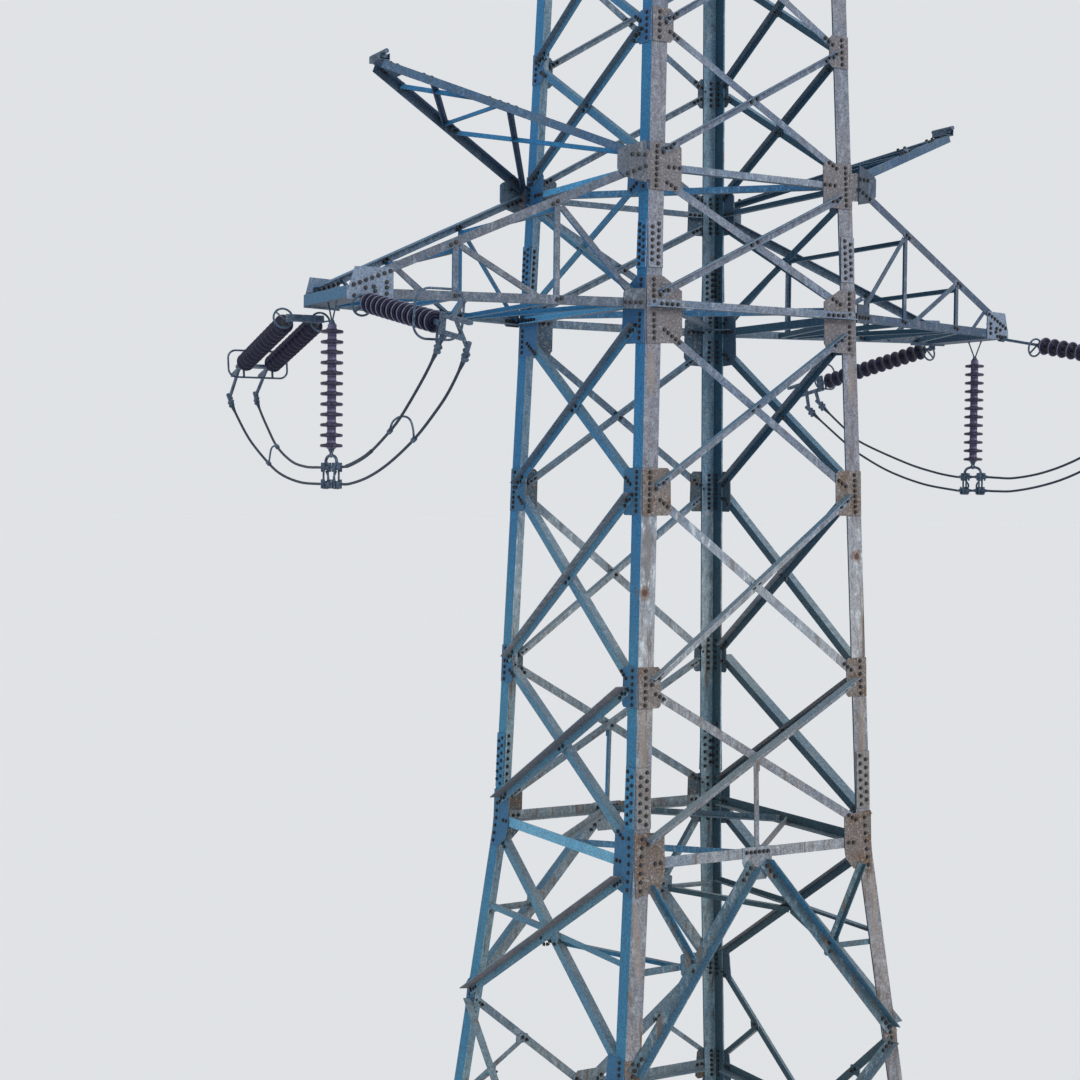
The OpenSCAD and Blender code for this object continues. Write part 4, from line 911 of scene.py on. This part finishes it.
# Insulators
def lathe(profile, tall, sides, name, material, rim=()):
    """A closed turned shape round the Z axis; the profile runs from the axis out and back to it.

    Its heights are parts of tall. The rim's profile points carry the edge attribute that the glaze reads.
    """
    rings = [[(r * math.cos(2 * math.pi * j / sides), r * math.sin(2 * math.pi * j / sides), z * tall)
              for j in range(sides)] for r, z in profile[1:-1]]
    verts = [(0, 0, profile[0][1] * tall)] + sum(rings, []) + [(0, 0, profile[-1][1] * tall)]
    last = len(verts) - 1
    top = last - sides
    faces = []
    for j in range(sides):
        k = (j + 1) % sides
        faces.append((0, 1 + k, 1 + j))
        for a in range(1, top, sides):
            faces.append((a + j, a + k, a + sides + k, a + sides + j))
        faces.append((last, top + j, top + k))
    mesh = mesh_of(name, verts, faces, material)
    edge = mesh.attributes.new("edge", "FLOAT", "POINT")
    for i in rim:
        for j in range(sides):
            edge.data[1 + (i - 1) * sides + j].value = 1.0
    return mesh


def string_tree(unit):
    """One unit of a string, repeated along Z and laid along given directions."""
    inputs = [("Count", "Int"), ("Pitch", "Float"), ("Finish", "Material")]
    tree, given = start_group("units_of_" + unit.name, inputs)
    step = result(tree, "ShaderNodeCombineXYZ", {"Z": given["Pitch"]})
    row = result(tree, "GeometryNodeMeshLine", {"Count": given["Count"], "Offset": step})
    shape = add(tree, "GeometryNodeObjectInfo", {"Object": unit}).outputs["Geometry"]
    upright = upright_along(tree, attribute(tree, "axis", "FLOAT_VECTOR"))
    points = result(tree, "GeometryNodeMeshToPoints", {"Mesh": given["Geometry"]})
    strings = instances(tree, points, instances(tree, row, shape), upright)
    return end_group(tree, strings, given["Finish"])


def make_strings(name, unit_mesh, starts, count, pitch, material, replaced=()):
    """Strings of units from each start along its direction."""
    unit = put_in_scene(unit_mesh.name + "_unit", unit_mesh)
    places = loose_points(name, *zip(*starts))
    made = run_tree(name, places, string_tree(unit), {"Count": count, "Pitch": pitch, "Finish": material})
    bpy.data.objects.remove(unit)
    for face in made.polygons:
        face.use_smooth = True
    new_piece(name, made, replaced)


def pull_starts(side):
    """The first unit and the direction of each tension string of one side: near, then far."""
    starts = []
    for far in (False, True):
        turn = math.radians(-side * FAR_TURN if far else side * NEAR_TURN)
        fall = math.radians(PULL_FALL)
        ahead = math.cos(turn) * math.cos(fall) * (1 if far else -1)
        direction = Vector((math.sin(turn) * math.cos(fall), ahead, -math.sin(fall)))
        if far:
            back, down = (0.1, 0.14) if side < 0 else (0.0, 0.04)
            lug = Vector((side * TIP_X - back, TIP_Y + 0.06, LUG_Z - down))
        else:
            lug = Vector((side * (TIP_X - 0.02), -TIP_Y - 0.02, LUG_Z - (0.04 if side < 0 else 0.01)))
        link = LONG_LINK if side > 0 and not far else NEAR_LINK
        for x in (-PAIR_GAP / 2, PAIR_GAP / 2) if side < 0 and far else (0.0,):
            starts.append((lug + Vector((x, 0, 0)) + direction * link, direction))
    return starts


def make_insulators(purple, brown, iron):
    """The sheds and caps of the tension strings, and the sheds of the jumper strings."""
    r = PULL_D / 2
    shed = [(0, 0.36), (0.044, 0.36), (0.052, 0.42)]
    shed += [(r * share, z) for share, z in (
        (0.62, 0.5), (0.86, 0.58), (0.96, 0.65), (1, 0.71), (0.985, 0.77), (0.93, 0.79), (0.88, 0.75),
        (0.8, 0.75), (0.78, 0.87), (0.7, 0.87), (0.68, 0.76), (0.56, 0.76), (0.54, 0.9), (0.46, 0.9),
        (0.44, 0.78))]
    shed += [(0.02, 0.8), (0, 0.8)]
    cap = [(0, 0), (0.024, 0), (0.034, 0.03), (0.046, 0.12), (0.046, 0.3), (0.05, 0.36), (0.05, 0.42),
           (0.014, 0.48), (0.014, 0.96), (0.02, 0.97), (0.02, 1), (0, 1)]
    r, c = HANG_D / 2, 0.0485
    rod = [(0, 0), (c, 0), (c, 0.34), (c * 1.05, 0.41), (r * 0.5, 0.49), (r * 0.8, 0.53), (r * 0.93, 0.56),
           (r * 0.99, 0.61), (r, 0.68), (r, 0.76), (r * 0.97, 0.82), (r * 0.88, 0.86), (r * 0.6, 0.88),
           (c * 1.1, 0.9), (c, 0.95), (c, 1), (0, 1)]
    for side, word in SIDES:
        starts = pull_starts(side)
        make_strings("tension_sheds_" + word, lathe(shed, PULL_PITCH, 36, "shed", purple, (7, 8)), starts,
                     PULL_COUNT, PULL_PITCH, purple, ["tension_strings_" + word])
        make_strings("tension_caps_" + word, lathe(cap, PULL_PITCH, 20, "cap", iron), starts,
                     PULL_COUNT, PULL_PITCH, iron)
    for side, word in SIDES:
        hang = [(Vector((side * HANG_X[side], 0, HANG_TOP)), Vector((0, 0, -1)))]
        make_strings("jumper_sheds_" + word, lathe(rod, HANG_PITCH, 40, "rod", brown, range(4, 13)), hang,
                     HANG_COUNT, HANG_PITCH, brown, ["jumper_string_" + word])


# Fittings
def nearest(route, y):
    """The index on a route that is nearest to a place along the line."""
    return min(range(len(route)), key=lambda i: abs(route[i][1] - y))


def tapered(points, radii, sides=12):
    """A closed tube along points with its own radius at each."""
    return swept(points, [1.0] * sides, scales=radii)


def pin(middle, along, long, short, small, wide, sides=6):
    """A short straight rod through its middle, with bevelled ends."""
    ends = [middle + along * t for t in (-long, -short, short, long)]
    return tapered(ends, [small, wide, wide, small], sides)


def rod_through(knots, radius, sides=10, steps=8, pitch=0.012):
    """A bent round rod through points."""
    smooth = evenly(curve_through([Vector(k) for k in knots], steps), pitch)
    return tapered(smooth, [radius] * len(smooth), sides)


def join_tubes(name, tubes, material, replaced=()):
    """Several closed tubes as one piece."""
    verts, faces = [], []
    for tube_verts, tube_faces in tubes:
        base = len(verts)
        verts.extend(tube_verts)
        faces.extend(tuple(base + i for i in face) for face in tube_faces)
    new_piece(name, mesh_of(name, verts, faces, material), replaced)


ALONG_X, ALONG_Y, ALONG_Z = (Vector(axis) for axis in ((1, 0, 0), (0, 1, 0), (0, 0, 1)))


def make_jumper_fittings(metal, wire):
    """Compression sleeves at the jumpers' ends, armour rods and clamp bodies at the yokes."""
    sleeves, lugs, clamps = [], [], []
    swell = [0.018, 0.021, 0.026, 0.03, 0.033, 0.034]
    for name in ROUTES:
        route = evenly(jumper_route(name), 0.02)
        for ordered in (route[:12], route[::-1][:12]):
            sleeves.append(tapered(ordered, [0.024] * 6 + [0.023, 0.022, 0.02, 0.018, 0.0165, 0.0155]))
            ahead = (ordered[1] - ordered[0]).normalized()
            aside = ahead.cross(ALONG_X).normalized()
            for reach in (0.0, 0.055):
                middle = ordered[0] + ahead * reach
                lugs.append(pin(middle, aside, 0.055, 0.045, 0.018, 0.024))
                lugs.append(pin(middle, ALONG_X, 0.045, 0.035, 0.016, 0.021))
            lugs.append(tapered(ordered[:6], [0.026, 0.034, 0.034, 0.034, 0.034, 0.026], 8))
        keel = -0.03 if name.endswith("lower") else 0.03
        for y in (-CLAMP_Y, CLAMP_Y):
            i = nearest(route, y)
            clamps.append(tapered(route[i - 6:i + 7], swell + [0.034] + swell[::-1], 10))
            for shift in (-0.03, 0.03):
                for x in (-0.036, 0.036):
                    clamps.append(pin(route[i] + Vector((x, shift, 0)), ALONG_Z, 0.05, 0.038, 0.011, 0.013))
            clamps.append(pin(route[i] + ALONG_Z * keel, ALONG_Y, 0.06, 0.05, 0.012, 0.024, 8))
    upper = evenly(jumper_route("left_upper"), 0.02)
    stretch = upper[nearest(upper, -0.42):nearest(upper, -1.12)]
    sleeves.append(tapered(stretch, [0.0205] * len(stretch), 10))
    join_tubes("jumper_sleeves", sleeves, wire)
    join_tubes("jumper_lugs", lugs, metal)
    join_tubes("jumper_clamp_bodies", clamps, metal)


def make_yokes(metal):
    """Straps above each jumper string, and the ring, horseshoe and links that carry the clamps below it."""
    parts = []
    put = parts.append
    upper, lower = CLAMP_Z
    half_bow = [(-0.15, 0.03), (-0.148, 0.07), (-0.115, 0.105), (-0.06, 0.122)]
    whole_bow = half_bow + [(0, 0.126)] + [(-y, z) for y, z in reversed(half_bow)]
    horn = ((-0.135, -0.045), (-0.09, -0.085), (-0.075, -0.12), (-0.1, -0.15), (-0.14, -0.16))
    for side, _ in SIDES:
        x = side * HANG_X[side]

        def level(base, heights):
            return [Vector((x, 0, base + z)) for z in heights]

        put(tapered(level(HANG_TOP, (-0.002, 0.012, 0.03, 0.044, 0.052)),
                             [0.036, 0.036, 0.024, 0.024, 0.012], 14))
        for y in (-1, 1):
            reach = y * math.tan(math.radians(28))
            strap = [Vector((x, reach * z, HANG_TOP + 0.02 + z)) for z in (0.005, 0.02, 0.2, 0.228)]
            put(tapered(strap, [0.016, 0.009, 0.009, 0.014], 10))
            put(pin(Vector((x, reach * 0.215, HANG_TOP + 0.235)), ALONG_X, 0.026, 0.02, 0.008, 0.013))
        put(pin(Vector((x, 0, HANG_TOP + 0.036)), ALONG_X, 0.044, 0.036, 0.009, 0.014))
        put(tapered(level(YOKE_TOP, (0.004, -0.012, -0.03, -0.05)), [0.034, 0.034, 0.026, 0.014], 14))
        ring = [(x, 0.034 * math.sin(a), YOKE_TOP - 0.062 + 0.026 * math.cos(a))
                for a in (math.radians(10 + 34 * i) for i in range(11))]
        put(rod_through(ring, 0.009))
        put(rod_through([(x, y, upper + z) for y, z in whole_bow], 0.017, 12))
        for turn in (1, -1):
            put(rod_through([(x, y * turn, upper + z) for y, z in horn], 0.012))
        for y in (-CLAMP_Y, CLAMP_Y):
            for shift in (-0.026, 0.026):
                link = [Vector((x + shift, y, z)) for z in (upper + 0.035, upper - 0.06,
                                                            lower + 0.06, lower - 0.02)]
                put(tapered(link, [0.016, 0.012, 0.012, 0.016], 8))
            for z in (upper + 0.02, upper - 0.045, lower + 0.045):
                put(pin(Vector((x, y, z)), ALONG_X, 0.05, 0.042, 0.009, 0.014))
            put(pin(Vector((x, y, lower - 0.03)), ALONG_Y, 0.075, 0.06, 0.012, 0.026, 8))
    join_tubes("jumper_yoke_fittings", parts, metal, replaced=["jumper_yokes"])


def make_corner_straps(material):
    """Bent straps from the legs' corners to the root plates of the upper arm chords."""
    verts, faces = [], []
    edge = half_width(ARM_TOP_Z)
    for side_x, side_y in CORNERS:
        plan = []
        for proud in (PLATE_T + 0.0015, 0.002):
            for x in (edge - 0.035, edge + 0.004):
                plan.append((side_x * x, side_y * (edge + proud)))
            outer, _ = arm_place(half_width(ARM_LOW_Z) + 0.045, 0.0, proud, side_x, side_y)
            plan.append((outer[0], outer[1]))
        base = len(verts)
        for z in (ARM_TOP_Z - 0.16, ARM_TOP_Z + 0.16):
            verts.extend((x, y, z) for x, y in plan)
        loop = [0, 1, 2, 5, 4, 3]
        for a, b in zip(loop, loop[1:] + loop[:1]):
            faces.append(tuple(base + j for j in (a, b, b + 6, a + 6)))
        for lift in (base, base + 6):
            faces.append(tuple(lift + j for j in (0, 1, 4, 3)))
            faces.append(tuple(lift + j for j in (1, 2, 5, 4)))
    mesh = mesh_of("arm_root_straps", verts, faces, material, smooth=False)
    new_piece("arm_root_straps", mesh)


def make_spacer_arches(metal):
    """Bent rods that hold the two left jumpers apart."""
    arches = []
    for low_y, high_y, tops in (
            (-1.99, -1.567, ((-1.99, 0.1), (-1.95, 0.185), (-1.86, 0.225), (-1.72, 0.225), (-1.61, 0.19),
                             (-1.57, 0.14))),
            (1.795, 1.935, ((1.85, 0.05), (1.91, 0.115), (1.96, 0.17), (1.965, 0.203)))):
        lower, upper = (jumper_route("left_" + word) for word in ("lower", "upper"))
        ends = ((lower, nearest(lower, low_y)), (upper, nearest(upper, high_y)))
        start, end = (route[i] for route, i in ends)
        knots = [start]
        for i, (y, lift) in enumerate(tops):
            share = (i + 1) / (len(tops) + 1)
            knots.append(Vector((start[0] + (end[0] - start[0]) * share, y, start[2] + lift)))
        knots.append(end)
        arches.append(rod_through(knots, 0.011, 10, 10, 0.015))
        for route, i in ends:
            along = (route[i + 1] - route[i - 1]).normalized()
            arches.append(pin(route[i], along, 0.035, 0.025, 0.018, 0.027, 12))
    join_tubes("jumper_spacer_arches", arches, metal)


def finish_nodes(finishes):
    """Gives every CAD node that stays its finish, by its own name or by its slot."""
    for subpart in frame["record"]["subparts"]:
        node = frame["nodes"][subpart["node"]]
        material = finishes.get(subpart["node"]) or finishes[subpart["material_slot"]]
        for slot in node.material_slots:
            slot.material = material
        if not node.material_slots:
            node.data.materials.append(material)


make_light()
make_stage()
plates = plate_steel("stained_gusset_plate", PLATE_TONES, 0.9)
forged = forged_steel()
# the dark discs' pale rim colour is a painted highlight
dark_glaze = glaze("dark_purple_glaze", (0.007, 0.007, 0.023), (0.022, 0.024, 0.056), (0.165, 0.175, 0.26))
brown_glaze = glaze("brown_violet_glaze", (0.078, 0.07, 0.128), (0.21, 0.2, 0.33), (0.026, 0.022, 0.043))
finishes = {
    "plate_steel": plates, "forged_fittings": forged, "glazed_discs": dark_glaze,
    "stranded_conductor": conductor,
    "crossarm_tips": plate_steel("pale_tip_plate", TIP_TONES, 0.3),
    "splice_plates": plate_steel("speckled_splice_plate", SPLICE_TONES, 0.3)}
for name, (tones, rust, speckle, lichen, marks, wearers) in ZINC_FINISHES.items():
    zinc = galvanised(name, tones, rust, speckle, lichen, marks)
    finishes.update(dict.fromkeys(wearers.split(), zinc))
finish_nodes(finishes)
make_insulators(dark_glaze, brown_glaze, dark_steel("dark_cap_iron"))
make_jumper_fittings(forged, conductor)
make_yokes(forged)
make_corner_straps(plates)
make_spacer_arches(forged)

bolt_nodes, bolt_steel = bolt_tree(), dark_steel("dark_bolt_steel")
for name, fill in (
        ("panel_bolts", panel_bolts), ("leg_bolts", leg_bolts), ("lower_frame_bolts", lower_bolts),
        ("base_frame_bolts", base_bolts), ("crossarm_bolts", arm_bolts), ("horn_bolts", horn_bolts)):
    group = Bolts()
    fill(group)
    make_bolts(name, group, bolt_nodes, bolt_steel)
